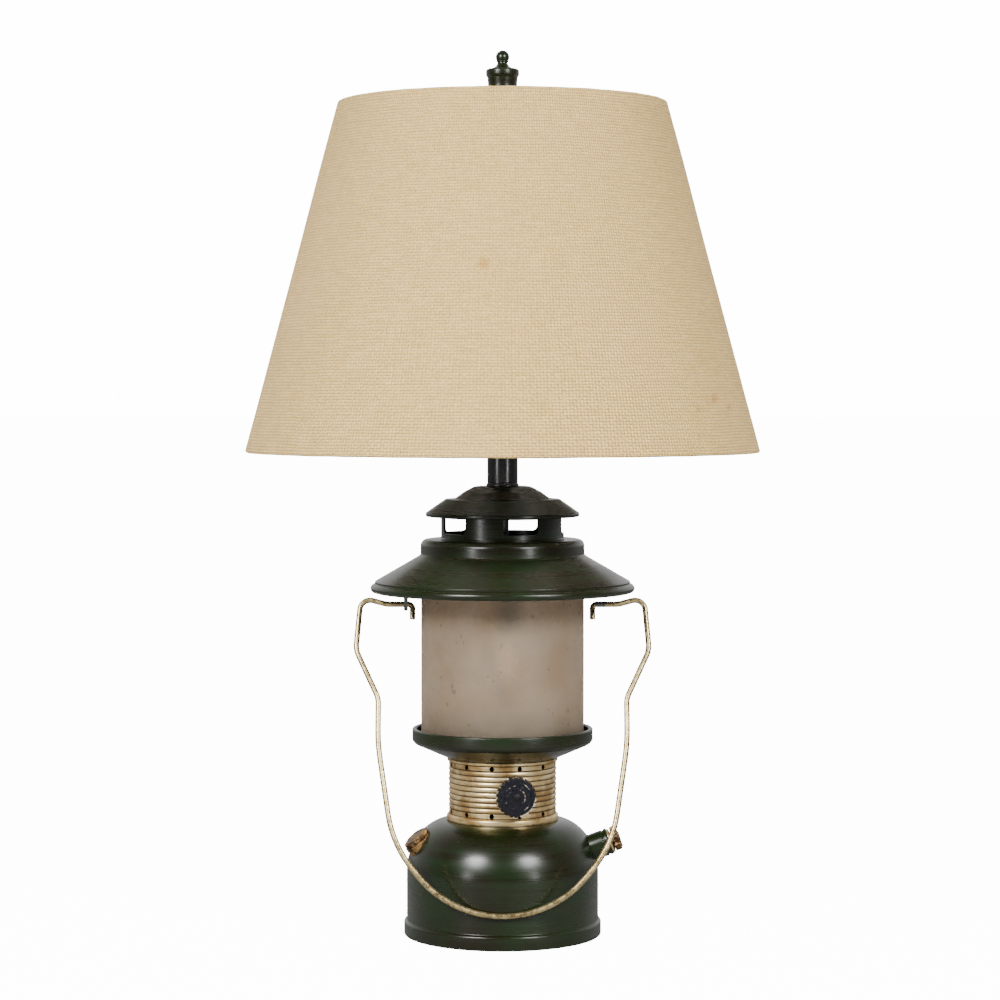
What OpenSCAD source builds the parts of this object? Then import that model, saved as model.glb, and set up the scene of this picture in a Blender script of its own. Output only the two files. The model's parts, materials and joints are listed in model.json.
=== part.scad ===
// Table lamp in the form of a camp lantern, with a cloth empire shade.
// Millimetres, +Z up. The origin is on the lamp's axis at the table; the front faces -Y.

/* [Tank] */
// Outer radius of the tank's straight wall
tank_r = 76; // [66:0.5:92]
// How far the rolled foot stands out from the wall
foot_out = 2.2; // [1:0.1:4]
// Height of the rolled foot
foot_h = 12; // [8:0.5:16]
// Height at which the straight wall turns into the dome
tank_wall_h = 50; // [44:0.5:70]
// Rise of the dome above the straight wall
dome_rise = 41.6; // [34:0.2:52]
// Thickness of the sheet metal
sheet_t = 1.2; // [0.8:0.1:1.6]
// Thickness of the felt under the base
felt_t = 1.5; // [1:0.1:3]
// Height of the ballast ring
ballast_h = 17; // [8:0.5:20]
// Inner radius of the ballast ring
ballast_bore_r = 27; // [24:0.5:40]

/* [Burner collar] */
// Radius over the collar's ridges
collar_r = 42.7; // [38:0.1:48]
// Height of the collar
collar_h = 49.4; // [44:0.2:60]
// Number of ridges between the two rows of holes
ridge_count = 8; // [5:1:10]
// Depth of the grooves between the ridges
groove_depth = 1.1; // [0.5:0.1:1.4]
// Number of air holes in each row
air_hole_count = 12; // [8:1:16]
// Radius of an air hole
air_hole_r = 1.9; // [1:0.1:2]

/* [Tray and globe] */
// Outer radius of the tray's rim
tray_r = 71.5; // [70.5:0.1:84]
// Height of the tray's sloping part
tray_cone_h = 12; // [8:0.2:18]
// Height of the tray's upright wall
tray_wall_h = 11.3; // [8:0.1:16]
// Outer radius of the glass globe
globe_r = 64.4; // [56:0.1:65.4]
// Height of the glass globe
globe_h = 129; // [100:0.5:165]
// Wall of the glass globe
glass_t = 2.2; // [1.5:0.1:3]

/* [Hood and vent] */
// Radius over the hood's rolled lip
hood_r = 104.5; // [101:0.5:125]
// Radius of the rolled lip's section
lip_r = 3.2; // [2:0.1:4]
// Rise of the hood's slope
hood_rise = 20; // [16:0.5:30]
// Radius of the step on top of the hood
step_r = 64.8; // [62:0.1:72]
// Height of the step
step_h = 13.4; // [10:0.2:20]
// Radius of the vent drum
drum_r = 48.6; // [42:0.2:54]
// Height of the vent drum
drum_h = 17.8; // [14:0.2:26]
// Number of windows in the drum
window_count = 5; // [3:1:6]
// Angle that each window spans
window_angle = 35; // [20:1:40]
// Radius over the brim of the vent cap
brim_r = 60.8; // [56:0.2:72]
// Height of the vent cap
cap_h = 24; // [22:0.5:32]

/* [Stem and socket] */
// Radius of the threaded centre rod
rod_r = 5; // [4:0.1:6]
// Bore radius of the centre rod
rod_bore_r = 3.6; // [2:0.1:3.6]
// Outer radius of the neck tube
neck_r = 12.1; // [10:0.1:15]
// Length of the neck tube
neck_h = 53; // [36:0.5:70]
// Radius of the socket's shell
socket_r = 17; // [16:0.1:19]
// Radius of the lamp bulb's globe
bulb_r = 30; // [24:0.5:32]

/* [Harp and shade] */
// Height of the harp above its saddle
harp_h = 225; // [210:1:250]
// Half the spacing of the harp's feet
harp_foot_x = 28; // [25:0.5:34]
// Radius of the harp's wire
harp_wire_r = 2; // [1.5:0.1:2.5]
// Lean of the harp's lower arms from upright
harp_lean = 30; // [24:1:34]
// Radius of the shade's lower edge
shade_bottom_r = 203.2; // [165:0.5:245]
// Radius of the shade's upper edge
shade_top_r = 129.5; // [105:0.5:156]
// Height of the shade
shade_h = 274.5; // [225:0.5:278]
// Thickness of the shade's cloth
cloth_t = 1.4; // [0.8:0.1:2]
// Thickness of the liner behind the cloth
liner_t = 0.5; // [0.4:0.1:1]
// Radius of the shade's ring wires
ring_wire_r = 1.6; // [1.2:0.1:2]
// Number of arms on the shade's spider
arm_count = 3; // [2:1:4]

/* [Bail] */
// Radius of the bail's wire
bail_wire_r = 2.25; // [1.5:0.05:3]
// Reach of the bail below its pivot
bail_reach = 246.9; // [200:0.1:250]
// Depth of the pivot below the hood's lip
pivot_drop = 10; // [8.5:0.1:14]

/* [Knobs and caps] */
// Radius of the control knob
knob_r = 15.8; // [12:0.1:18]
// Direction of the control knob from the front, toward +X
knob_az = 11; // [0:1:30]
// Number of notches around the control knob
notch_count = 22; // [12:1:28]
// Radius of the switch shaft
shaft_r = 3; // [2:0.1:3.5]
// Radius of the pump boss
boss_r = 10.5; // [8:0.1:12]
// Length of the pump boss outside the dome
boss_len = 14.5; // [6:0.5:14]
// Radius over the lobes of the pump knob
star_r = 10.5; // [8:0.1:12]
// Radius of the filler cap
filler_r = 11; // [8:0.1:13]
// Bore radius of the cord outlet
cord_bore_r = 4; // [2.5:0.1:5]

/* [Fits] */
// Radial clearance of a turning or sliding fit
run_gap = 0.08; // [0.03:0.01:0.1]
// Radial clearance of a fixed hole over a rod
hole_gap = 0.1; // [0.05:0.05:0.3]
// Space kept between bodies that move
body_gap = 0.4; // [0.3:0.1:0.6]

/* [Hidden] */
$fn = 64;
eps = 0.01;
seam = 0.01;
lap = 0.04;

green = "#30361f";
gold = "#c8aa6e";
bronze = "#7a5a30";
black = "#1c1c20";
steel = "#9a9a98";
glass = "#b9aa96";
tan_cloth = "#dac6a2";

// Heights of the stacked pieces, from the table up
rod_hole_r = rod_r + hole_gap;
tank_top_z = tank_wall_h + dome_rise;
tray_z = tank_top_z + collar_h;
tray_rim_z = tray_z + tray_cone_h + tray_wall_h;
globe_z = tray_z + tray_cone_h + 3;
gasket_t = 2;
seat_z = globe_z + globe_h + gasket_t;
seat_top_z = seat_z + sheet_t;
lip_z = seat_z - 15;
slope_z = lip_z + 2 * lip_r + 2.1;
step_z = slope_z + hood_rise;
hood_top_z = step_z + step_h;
cap_z = hood_top_z + drum_h;
cap_top_z = cap_z + cap_h;
foot_ring_h = 3;
neck_z = cap_top_z + foot_ring_h;
saddle_z = neck_z + neck_h;
saddle_t = 2;
socket_z = saddle_z + saddle_t;
pivot_z = lip_z - pivot_drop;

// Tank: the dome is a quarter ellipse that ends at the collar
dome_run = tank_r - collar_r;
tank_bore_r = tank_r - sheet_t;
plate_t = 1.5;
boss_recess_h = 6.5;
nut_r = rod_r * 1.62;
nut_h = 4.5;

// Collar: rings, hole bands and ridges
ring_low_h = 5.4;
ring_top_h = 2.6;
hole_band_h = 4.2;
ridge_z = tank_top_z + ring_low_h + hole_band_h;
ridge_pitch = (collar_h - ring_low_h - ring_top_h - 2 * hole_band_h) / ridge_count;
collar_bore_r = collar_r - 2.2;
air_hole_az = 18.5;

// Tray: inner slope, and the seat of the gasket on it
tray_floor_r = collar_r + 0.8;
tray_slope_r = tray_r - 2;
rim_roll = 3.5;
gasket_in_r = globe_r - 4.4;
gasket_out_r = globe_r + 2.4;

// Hood: slope and step
slope_r = hood_r - 3.5;
slope_top_r = step_r + 1.6;
slope_angle = atan(hood_rise / (slope_r - slope_top_r));
step_round = 5;
vent_hole_r = drum_r - 8.6;

// Bail ears stand just outside the globe's retaining lip
seat_lip_r = globe_r + 3.1;
ear_x = seat_lip_r + 7.5;
ear_t = 3;
ear_flange = 8;
ear_w = 10;
ear_rivet_r = 1.5;
rivet_head_h = 0.8;
tail_bend_r = 3.5;
tail_x = ear_x - tail_bend_r - body_gap;
tail_len = 12;

// Knob, switch and shaft distances from the lamp's axis
knob_z = tank_top_z + collar_h / 2;
switch_in = rod_r + 9;
switch_out = collar_bore_r - 4.5;
bushing_r = shaft_r + 1.7;
bushing_out = collar_r + 3.6;
knob_back = bushing_out + body_gap + 0.2;
disc_back = knob_back + 5;
disc_t = 5.6;
knob_face = disc_back + disc_t;

// Pump and filler places on the dome
pump_az = 85;
pump_tilt = 21;
pump_dome_angle = 28.7;
pump_shaft_r = 2.5;
gland_t = 2;
pump_knob_t = 6;
filler_az = -75;
filler_tilt = 50;
filler_dome_angle = 39.7;
filler_neck_r = filler_r + 1;

// Night light
night_x = 5;
night_y = -22;
night_socket_r = 9;
night_socket_h = 43;
night_bulb_r = 11;

// Harp, shade and finial
post_h = 19;
ferrule_h = 20;
ferrule_z = socket_z + post_h - ferrule_h / 2;
harp_z = socket_z + post_h;
harp_top_z = socket_z + harp_h;
harp_bend_r = 40;
harp_bend_z = harp_z + 48.7;
harp_corner_x = harp_foot_x + (harp_top_z - harp_bend_z) * tan(harp_lean);
harp_flat = 4.5;
harp_top_r = (harp_corner_x - harp_flat) / tan((90 + harp_lean) / 2);
stud_r = 3.1;
stud_seat_z = harp_top_z + harp_wire_r + 2.5;
stud_h = 24;
hub_t = 3;
hub_r = 10;
hub_z = stud_seat_z + body_gap;
finial_gap = 1.4;
finial_z = hub_z + hub_t + finial_gap;
finial_foot_r = 9;
finial_body_r = 11.7;
finial_disc_r = 13.1;
finial_disc_z = 31;
finial_waist_r = 4;
finial_bead_r = 4.8;
finial_ball_r = 5.4;
finial_ball_z = 44.6;
spider_drop = 9;
shade_top_z = hub_z + hub_t / 2 + spider_drop + ring_wire_r + 1.2;
shade_z = shade_top_z - shade_h;
hem_t = 1;
hem_w = 6;
arm_r = 1.3;
slant = 1 / cos(atan((shade_bottom_r - shade_top_r) / shade_h));

// Socket and bulb
cap_cup_h = 18;
socket_shell_z = socket_z + cap_cup_h;
socket_shell_h = 46;
body_top_z = socket_z + 26;
screw_shell_h = 27;
bulb_neck_z = body_top_z + screw_shell_h + 1;
bulb_centre_z = bulb_neck_z + bulb_r * 1.9;

// ---- Helpers ----

// Derived outlines
// The bail hangs from the ears and leans on the front of the tank
bail_lean = asin((tank_r + bail_wire_r + body_gap) / bail_reach);
bail_out_x = hood_r + 8;
bail_belly_x = bail_out_x + 3;
bail_waist_x = bail_out_x - 15.2;
bail_low_x = bail_out_x - 27.5;
bail_low_s = bail_reach - 54.9;
bail_slope = 50;
bail_tip_s = bail_low_s + bail_low_x * tan(bail_slope);
bail_tip_r = (bail_tip_s - bail_reach) / (1 / cos(bail_slope) - 1);
bail_side = [[tail_x, tail_len], [tail_x, 0], [ear_x + 16.5, 0], [bail_out_x - 0.5, -5.5],
    [bail_belly_x, 37], [bail_waist_x, 76], [bail_waist_x, 112], [bail_low_x, bail_low_s]];
bail_bends = [0, tail_bend_r, 20, 8, 20, 20, 150, 90];
window_half = drum_r * sin(window_angle / 2);
ring_top_z = shade_top_z - hem_t - ring_wire_r - 0.1;
ring_bottom_z = shade_z + hem_t + ring_wire_r + 0.1;
ring_top_r = liner_in_r(ring_top_z) - (ring_wire_r + 0.1) * slant;
ring_bottom_r = liner_in_r(ring_bottom_z) - (ring_wire_r + 0.1) * slant;
arm_z = hub_z + hub_t / 2;

function unit(v) = v / norm(v);

// Points of a circular or elliptical arc about c
function arc(c, rx, ry, a0, a1, n) =
    [for (i = [0:n]) let (a = a0 + (a1 - a0) * i / n) [c[0] + rx * cos(a), c[1] + ry * sin(a)]];

function left_normal(p, i) = let (d = unit(p[i + 1] - p[i])) [-d[1], d[0]];

function miter(p, i) =
    i == 0 ? left_normal(p, 0) :
    i == len(p) - 1 ? left_normal(p, i - 1) :
    let (a = left_normal(p, i - 1), b = left_normal(p, i)) (a + b) / (1 + a * b);

// Closed outline of a sheet of thickness t on the left of an open line
function sheet(p, t) = concat(p, [for (i = [len(p) - 1:-1:0]) p[i] + t * miter(p, i)]);

module ring(r_in, r_out, z, h) {
    translate([0, 0, z]) difference() {
        cylinder(r = r_out, h = h);
        translate([0, 0, -1]) cylinder(r = r_in, h = h + 2);
    }
}

// Children drawn along +Z come out pointing away from the axis, at azimuth az from the front
module outward(az, r, z, tilt = 0) {
    rotate([0, 0, az]) translate([0, -r, z]) rotate([90 - tilt, 0, 0]) children();
}

// A place on the dome, given by the ellipse's own angle
module on_dome(az, dome_angle, tilt) {
    outward(az, collar_r + dome_run * cos(dome_angle), tank_wall_h + dome_rise * sin(dome_angle), tilt)
        children();
}

// Round wire in the XY plane along points p, with bend radius b at each corner.
// Each straight is a hair thinner than the bends and ends just inside them.
module bent_wire(p, b, r) {
    last = len(p) - 1;
    function heading(i) = unit(p[i + 1] - p[i]);
    function turn(i) = let (u = heading(i - 1), v = heading(i)) atan2(cross(u, v), u * v);
    function tangent(i) = (i == 0 || i == last) ? 0 : b[i] * tan(abs(turn(i)) / 2);
    for (i = [0:last - 1]) {
        v = heading(i);
        lap_in = i == 0 ? 0 : lap;
        lap_out = i == last - 1 ? 0 : lap;
        start = p[i] + (tangent(i) - lap_in) * v;
        length = norm(p[i + 1] - p[i]) - tangent(i) - tangent(i + 1) + lap_in + lap_out;
        translate([start[0], start[1], 0]) rotate([0, 90, atan2(v[1], v[0])])
            cylinder(r = r - seam, h = length, $fn = 32);
    }
    for (i = [1:last - 1]) {
        u = heading(i - 1);
        side = sign(turn(i));
        centre = p[i] - tangent(i) * u + b[i] * side * [-u[1], u[0]];
        from = atan2(u[1], u[0]) - 90 * side + min(turn(i), 0);
        translate([centre[0], centre[1], 0]) rotate([0, 0, from])
            rotate_extrude(angle = abs(turn(i))) translate([b[i], 0]) circle(r = r, $fn = 32);
    }
}

// ---- Base and tank ----

module felt_pad() color("#2a2a26") cylinder(r = tank_bore_r - 0.5, h = felt_t);

module base_plate() color(steel) rotate_extrude()
    polygon(sheet([[rod_hole_r, felt_t + boss_recess_h], [20, felt_t + boss_recess_h],
        [23, felt_t], [tank_bore_r, felt_t]], plate_t));

module ballast_weight() color("#4a4a48")
    ring(ballast_bore_r, tank_bore_r - 2.5, felt_t + plate_t, ballast_h);

module base_washer() color(steel)
    ring(rod_hole_r, rod_r + 6, felt_t + boss_recess_h - 1.5, 1.5);

module base_nut() color(steel) translate([0, 0, felt_t + 0.5]) difference() {
    cylinder(r = nut_r, h = nut_h, $fn = 6);
    translate([0, 0, -1]) cylinder(r = rod_hole_r, h = nut_h + 2);
}

module center_rod() color(steel)
    ring(rod_bore_r, rod_r, felt_t + 0.5, socket_z + 7 - felt_t - 0.5);

module tank_shell() color(green) difference() {
    union() {
        rotate_extrude() polygon(sheet(concat(
            [[tank_r, 0.4]],
            arc([collar_r, tank_wall_h], dome_run, dome_rise, 0, 90, 16),
            [[rod_hole_r, tank_top_z]]), sheet_t));
        rotate_extrude() polygon(concat(
            [[tank_r - sheet_t / 2, 0.4], [tank_r + foot_out - 1.6, 0.4]],
            arc([tank_r + foot_out - 2.4, 3], 2.4, 2.4, -50, 0, 4),
            arc([tank_r + foot_out - 2.4, foot_h - 2.6], 2.4, 2.4, 0, 80, 5),
            [[tank_r - sheet_t / 2, foot_h]]));
    }
    on_dome(filler_az, filler_dome_angle, filler_tilt)
        translate([0, 0, -14]) cylinder(r = filler_neck_r, h = 30);
    on_dome(pump_az, pump_dome_angle, pump_tilt)
        translate([0, 0, -14]) cylinder(r = boss_r, h = 30);
    outward(180, tank_r - 8, cord_z()) cylinder(r = cord_bore_r + 1.5, h = 16);
}

// The cord leaves at the back, above the ballast
function cord_z() = felt_t + plate_t + ballast_h + cord_bore_r + 4;

module cord_bushing() color(black) outward(180, tank_r, cord_z()) difference() {
    union() {
        translate([0, 0, -sheet_t - 3.5]) cylinder(r = cord_bore_r + 1.5, h = 6);
        translate([0, 0, 0.1]) cylinder(r = cord_bore_r + 3, h = 2.4);
        translate([0, 0, -sheet_t - 3.5]) cylinder(r = cord_bore_r + 2.6, h = 2.4);
    }
    translate([0, 0, -10]) cylinder(r = cord_bore_r, h = 20);
}

module filler_neck() color(bronze) on_dome(filler_az, filler_dome_angle, filler_tilt)
    ring(filler_r - 1.6, filler_neck_r, -6, 7.5);

module filler_cap() color(gold) on_dome(filler_az, filler_dome_angle, filler_tilt) {
    rotate_extrude() polygon([[0, -3], [filler_r - 1.6, -3], [filler_r - 1.6, 1.5],
        [filler_r, 1.5], [filler_r, 4.6], [filler_r - 0.9, 5.5], [0, 5.5]]);
}

module pump_boss() color(green) on_dome(pump_az, pump_dome_angle, pump_tilt)
    ring(boss_r - 2, boss_r, -6, 6 + boss_len);

module pump_gland() color(gold) on_dome(pump_az, pump_dome_angle, pump_tilt) difference() {
    union() {
        translate([0, 0, boss_len - 6]) cylinder(r = boss_r - 2, h = 6);
        translate([0, 0, boss_len]) cylinder(r = boss_r - 1, h = gland_t);
    }
    translate([0, 0, boss_len - 7]) cylinder(r = pump_shaft_r + run_gap, h = 12);
}

module pump_shaft() color(gold) on_dome(pump_az, pump_dome_angle, pump_tilt)
    cylinder(r = pump_shaft_r, h = boss_len + gland_t + body_gap + 4);

module pump_knob() color(gold) on_dome(pump_az, pump_dome_angle, pump_tilt)
    translate([0, 0, boss_len + gland_t + body_gap]) difference() {
        linear_extrude(pump_knob_t) union() {
            circle(r = star_r * 0.7);
            for (i = [0:4]) rotate(90 + i * 72) translate([star_r * 0.68, 0]) circle(r = star_r * 0.32);
        }
        translate([0, 0, -1]) cylinder(r = pump_shaft_r, h = 5);
    }

// ---- Burner collar and switch ----

module burner_collar() color(gold) difference() {
    rotate_extrude() polygon(concat(
        [[collar_bore_r, tank_top_z], [collar_r + 1.2, tank_top_z]],
        [[collar_r + 1.6, tank_top_z + 1.6]],
        [[collar_r + 1.6, tank_top_z + ring_low_h - 1.6], [collar_r + 0.6, tank_top_z + ring_low_h - 0.4],
         [collar_r - groove_depth, tank_top_z + ring_low_h],
         [collar_r - 0.3, tank_top_z + ring_low_h + 0.6], [collar_r - 0.3, ridge_z - 0.6]],
        [for (i = [0:ridge_count - 1]) for (q = [[0, groove_depth], [0.17, 0.25], [0.36, 0],
            [0.64, 0], [0.83, 0.25]]) [collar_r - q[1], ridge_z + (i + q[0]) * ridge_pitch]],
        [[collar_r - groove_depth, tray_z - ring_top_h - hole_band_h],
         [collar_r - 0.3, tray_z - ring_top_h - hole_band_h + 0.6],
         [collar_r - 0.3, tray_z - ring_top_h - 0.6], [collar_r - groove_depth, tray_z - ring_top_h],
         [collar_r + 1.1, tray_z - ring_top_h + 0.6], [collar_r + 1.1, tray_z],
         [collar_bore_r - 6, tray_z], [collar_bore_r - 6, tray_z - sheet_t],
         [collar_bore_r, tray_z - sheet_t]]));
    for (i = [0:air_hole_count - 1], z = [tank_top_z + ring_low_h + hole_band_h / 2,
            tray_z - ring_top_h - hole_band_h / 2])
        outward(air_hole_az + i * 360 / air_hole_count, collar_bore_r - 2, z)
            cylinder(r = air_hole_r, h = 8, $fn = 24);
    outward(knob_az, collar_bore_r - 2, knob_z) cylinder(r = bushing_r + hole_gap, h = 8);
}

module switch_body() color(black) outward(knob_az, switch_in, knob_z)
    translate([0, 0, (switch_out - switch_in) / 2])
        cube([26, 24, switch_out - switch_in], center = true);

module switch_bushing() color(steel) outward(knob_az, switch_out, knob_z)
    ring(shaft_r + run_gap, bushing_r, 0, bushing_out - switch_out);

module switch_nut() color(steel) outward(knob_az, collar_r + 0.2, knob_z) difference() {
    cylinder(r = bushing_r + 3.2, h = 2.4, $fn = 6);
    translate([0, 0, -1]) cylinder(r = bushing_r + hole_gap, h = 5);
}

module switch_shaft() color(steel) outward(knob_az, switch_out + body_gap, knob_z)
    cylinder(r = shaft_r, h = knob_face - 1 - switch_out - body_gap);

module control_knob() color(black) outward(knob_az, knob_back, knob_z) difference() {
    union() {
        cylinder(r = shaft_r + 4.5, h = 6);
        translate([0, 0, disc_back - knob_back]) cylinder(r = knob_r, h = disc_t);
    }
    translate([0, 0, -1]) cylinder(r = shaft_r, h = knob_face - knob_back);
    for (i = [0:notch_count - 1]) rotate([0, 0, i * 360 / notch_count])
        translate([knob_r + 0.5, 0, disc_back - knob_back - 1]) cylinder(r = 1.1, h = disc_t + 2, $fn = 24);
}

module knob_rivet() color(bronze) outward(knob_az, knob_face, knob_z)
    rotate_extrude() polygon([[0, 0], [3, 0], [3, 0.5], [2.2, 1.1], [0, 1.3]]);

// ---- Tray, globe and seat ----

function tray_slope(r) =
    tray_z + sheet_t + (r - tray_floor_r) * tray_cone_h / (tray_slope_r - tray_floor_r);

module globe_tray() color(green) rotate_extrude() union() {
    polygon([[rod_hole_r, tray_z], [tray_floor_r, tray_z], [tray_slope_r, tray_z + tray_cone_h - 0.6],
        [tray_r - 0.5, tray_z + tray_cone_h + 0.8], [tray_r, tray_z + tray_cone_h + 2.2],
        [tray_r, tray_rim_z - 0.8], [tray_r - 0.8, tray_rim_z], [tray_r - rim_roll + 0.8, tray_rim_z],
        [tray_r - rim_roll, tray_rim_z - 0.8], [tray_r - rim_roll, tray_rim_z - 2.4],
        [tray_r - sheet_t, tray_rim_z - 2.8], [tray_r - sheet_t, tray_z + tray_cone_h + 2.6],
        [tray_slope_r - 0.4, tray_slope(tray_slope_r - 0.4)], [tray_floor_r, tray_slope(tray_floor_r)],
        [rod_hole_r, tray_z + sheet_t]]);
}

module globe_gasket() color("#3a3530") rotate_extrude()
    polygon([[gasket_in_r, tray_slope(gasket_in_r)], [gasket_out_r, tray_slope(gasket_out_r)],
        [gasket_out_r, globe_z], [gasket_in_r, globe_z]]);

module glass_globe() color(glass) rotate_extrude() polygon([
    [globe_r - glass_t, globe_z + 0.6], [globe_r - glass_t + 0.6, globe_z], [globe_r - 0.6, globe_z],
    [globe_r, globe_z + 0.6], [globe_r, globe_z + globe_h - 0.6], [globe_r - 0.6, globe_z + globe_h],
    [globe_r - glass_t + 0.6, globe_z + globe_h], [globe_r - glass_t, globe_z + globe_h - 0.6]]);

module top_gasket() color("#3a3530")
    ring(globe_r - 4.4, globe_r + 1.4, globe_z + globe_h, gasket_t);

// Inner radius of the hood's slope at height z
function hood_in_r(z) = slope_r - (z - slope_z) / tan(slope_angle) - sheet_t / sin(slope_angle);

module globe_seat() color(steel) difference() {
    union() {
        rotate_extrude() polygon([[rod_hole_r, seat_z], [hood_in_r(seat_z), seat_z],
            [hood_in_r(seat_top_z), seat_top_z], [rod_hole_r, seat_top_z]]);
        ring(seat_lip_r - sheet_t, seat_lip_r, seat_z - 8, 8);
    }
    for (i = [0:5]) rotate([0, 0, i * 60]) translate([0, collar_r, seat_z - 1]) cylinder(r = 8, h = 4);
    for (s = [-1, 1]) translate([s * rivet_x(), 0, seat_z - 1]) cylinder(r = ear_rivet_r, h = 4);
}

// ---- Hood, ears and bail ----

module hood() color(green) rotate_extrude() union() {
    polygon(sheet(concat(
        [[slope_r - 1.2, lip_z + lip_r], [slope_r - 0.3, slope_z - 0.3],
         [slope_r - 1.3, slope_z + 1.3 * tan(slope_angle)],
         [slope_top_r, step_z], [step_r, step_z + 1.4]],
        arc([step_r - step_round, hood_top_z - step_round], step_round, step_round, 0, 90, 6),
        [[vent_hole_r, hood_top_z]]), sheet_t));
    translate([hood_r - lip_r, lip_z + lip_r]) circle(r = lip_r);
}

function rivet_x() = ear_x + ear_t + (ear_flange - ear_t) / 2;

module bail_ear(s) color(steel) difference() {
    union() {
        translate([s > 0 ? ear_x : -ear_x - ear_t, -ear_w / 2, pivot_z])
            cube([ear_t, ear_w, seat_z - pivot_z]);
        translate([s > 0 ? ear_x : -ear_x - ear_flange, -ear_w / 2, seat_z - 1.5])
            cube([ear_flange, ear_w, 1.5]);
        translate([s > 0 ? ear_x : -ear_x - ear_t, 0, pivot_z]) rotate([0, 90, 0])
            cylinder(r = ear_w / 2, h = ear_t);
    }
    translate([s > 0 ? ear_x - 1 : -ear_x - ear_t - 1, 0, pivot_z]) rotate([0, 90, 0])
        cylinder(r = bail_wire_r + run_gap, h = ear_t + 2);
    translate([s * rivet_x(), 0, seat_z - 3]) cylinder(r = ear_rivet_r, h = 5);
}

module left_bail_ear() bail_ear(-1);

module right_bail_ear() bail_ear(1);

module ear_rivets() color(steel) for (s = [-1, 1]) translate([s * rivet_x(), 0, 0]) {
    translate([0, 0, seat_z - 1.5]) cylinder(r = ear_rivet_r, h = 1.5 + sheet_t);
    for (z = [seat_z - 1.5 - rivet_head_h, seat_top_z]) translate([0, 0, z])
        cylinder(r = ear_rivet_r + 1, h = rivet_head_h);
}

module bail_handle() color("#c9ba98") translate([0, 0, pivot_z]) rotate([-90 - bail_lean, 0, 0])
    bent_wire(
        concat(bail_side, [[0, bail_tip_s]],
            [for (i = [len(bail_side) - 1:-1:0]) [-bail_side[i][0], bail_side[i][1]]]),
        concat(bail_bends, [bail_tip_r], [for (i = [len(bail_bends) - 1:-1:0]) bail_bends[i]]),
        bail_wire_r);

// ---- Night light inside the globe ----

module at_night_light() translate([night_x, night_y, 0]) children();

module night_light_bracket() color(steel) at_night_light()
    translate([0, 0, seat_z - 1.8]) cylinder(r = night_socket_r - 1, h = 1.8);

module night_light_socket() color(black) at_night_light() difference() {
    translate([0, 0, seat_z - 1.8 - night_socket_h]) cylinder(r = night_socket_r, h = night_socket_h);
    translate([0, 0, seat_z - 2.8 - night_socket_h]) cylinder(r = night_socket_r - 2.5, h = 22);
}

module night_light_bulb() color("#e8e4da") at_night_light()
    translate([0, 0, seat_z - 1.8 - night_socket_h]) rotate_extrude() polygon(concat(
        [[0, 18], [night_socket_r - 3, 18], [night_socket_r - 3, -1], [night_socket_r - 1.5, -6]],
        arc([0, -20], night_bulb_r, 11, 35, -20, 6), arc([0, -20], night_bulb_r, 21, -20, -90, 6)));

// ---- Vent ----

module vent_drum() color(green) difference() {
    ring(drum_r - sheet_t, drum_r, hood_top_z, drum_h);
    for (i = [0:window_count - 1]) outward(18 + i * 360 / window_count, drum_r - 8, 0)
        linear_extrude(16) polygon(concat(
            arc([window_half - 3, hood_top_z + 7.8], 3, 3, -90, 0, 4),
            [[window_half, cap_z - 1], [-window_half, cap_z - 1]],
            arc([3 - window_half, hood_top_z + 7.8], 3, 3, 180, 270, 4)));
}

module vent_cap() color(green) rotate_extrude() polygon(sheet(concat(
    [[drum_r - 2, cap_z + sheet_t], [drum_r - 2 + eps, cap_z], [brim_r, cap_z], [brim_r, cap_z + 3]],
    [[brim_r - 3.1, cap_z + 5.3], [brim_r - 6.7, cap_z + 7.7], [brim_r - 11, cap_z + 10.1],
     [brim_r - 13.4, cap_z + 12.4], [brim_r - 14.2, cap_z + 13.6], [38, cap_z + 14],
     [34.4, cap_top_z - 6.8], [30.4, cap_top_z - 4.4], [26.5, cap_top_z - 2.1], [22, cap_top_z]],
    [[rod_hole_r, cap_top_z]]), sheet_t));

// ---- Neck, saddle and harp ----

module neck_foot() color(black) rotate_extrude() polygon([[rod_hole_r, cap_top_z],
    [neck_r + 0.8, cap_top_z], [neck_r + 0.8, neck_z - 1], [neck_r, neck_z],
    [neck_r - sheet_t, neck_z], [neck_r - sheet_t, neck_z + 5], [rod_hole_r, neck_z + 5]]);

module neck_tube() color(black) ring(neck_r - sheet_t, neck_r, neck_z, neck_h);

module harp_saddle() color(gold) difference() {
    union() {
        translate([-harp_foot_x - 5, -6, saddle_z]) cube([2 * harp_foot_x + 10, 12, saddle_t]);
        for (s = [-1, 1]) translate([s * harp_foot_x, 0, socket_z - 1]) {
            cylinder(r = harp_wire_r, h = post_h + 1);
            cylinder(r = harp_wire_r + 1.2, h = ferrule_z - body_gap - socket_z + 1);
        }
    }
    translate([0, 0, saddle_z - 1]) cylinder(r = rod_hole_r, h = saddle_t + 2);
}

module harp() color(gold) {
    rotate([90, 0, 0]) bent_wire([[harp_foot_x, harp_z], [harp_foot_x, harp_bend_z],
        [harp_corner_x, harp_top_z], [-harp_corner_x, harp_top_z], [-harp_foot_x, harp_bend_z],
        [-harp_foot_x, harp_z]], [0, harp_bend_r, harp_top_r, harp_top_r, harp_bend_r, 0], harp_wire_r);
    translate([0, 0, harp_top_z - 4]) cylinder(r = 5.5, h = 6);
    translate([0, 0, harp_top_z + 1]) cylinder(r = 8, h = stud_seat_z - harp_top_z - 1);
    translate([0, 0, stud_seat_z - 1]) cylinder(r = stud_r, h = stud_h + 1);
}

module harp_ferrule(s) color(gold) translate([s * harp_foot_x, 0, 0])
    ring(harp_wire_r + run_gap, harp_wire_r + 1.6, ferrule_z, ferrule_h);

module left_harp_ferrule() harp_ferrule(-1);

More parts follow.
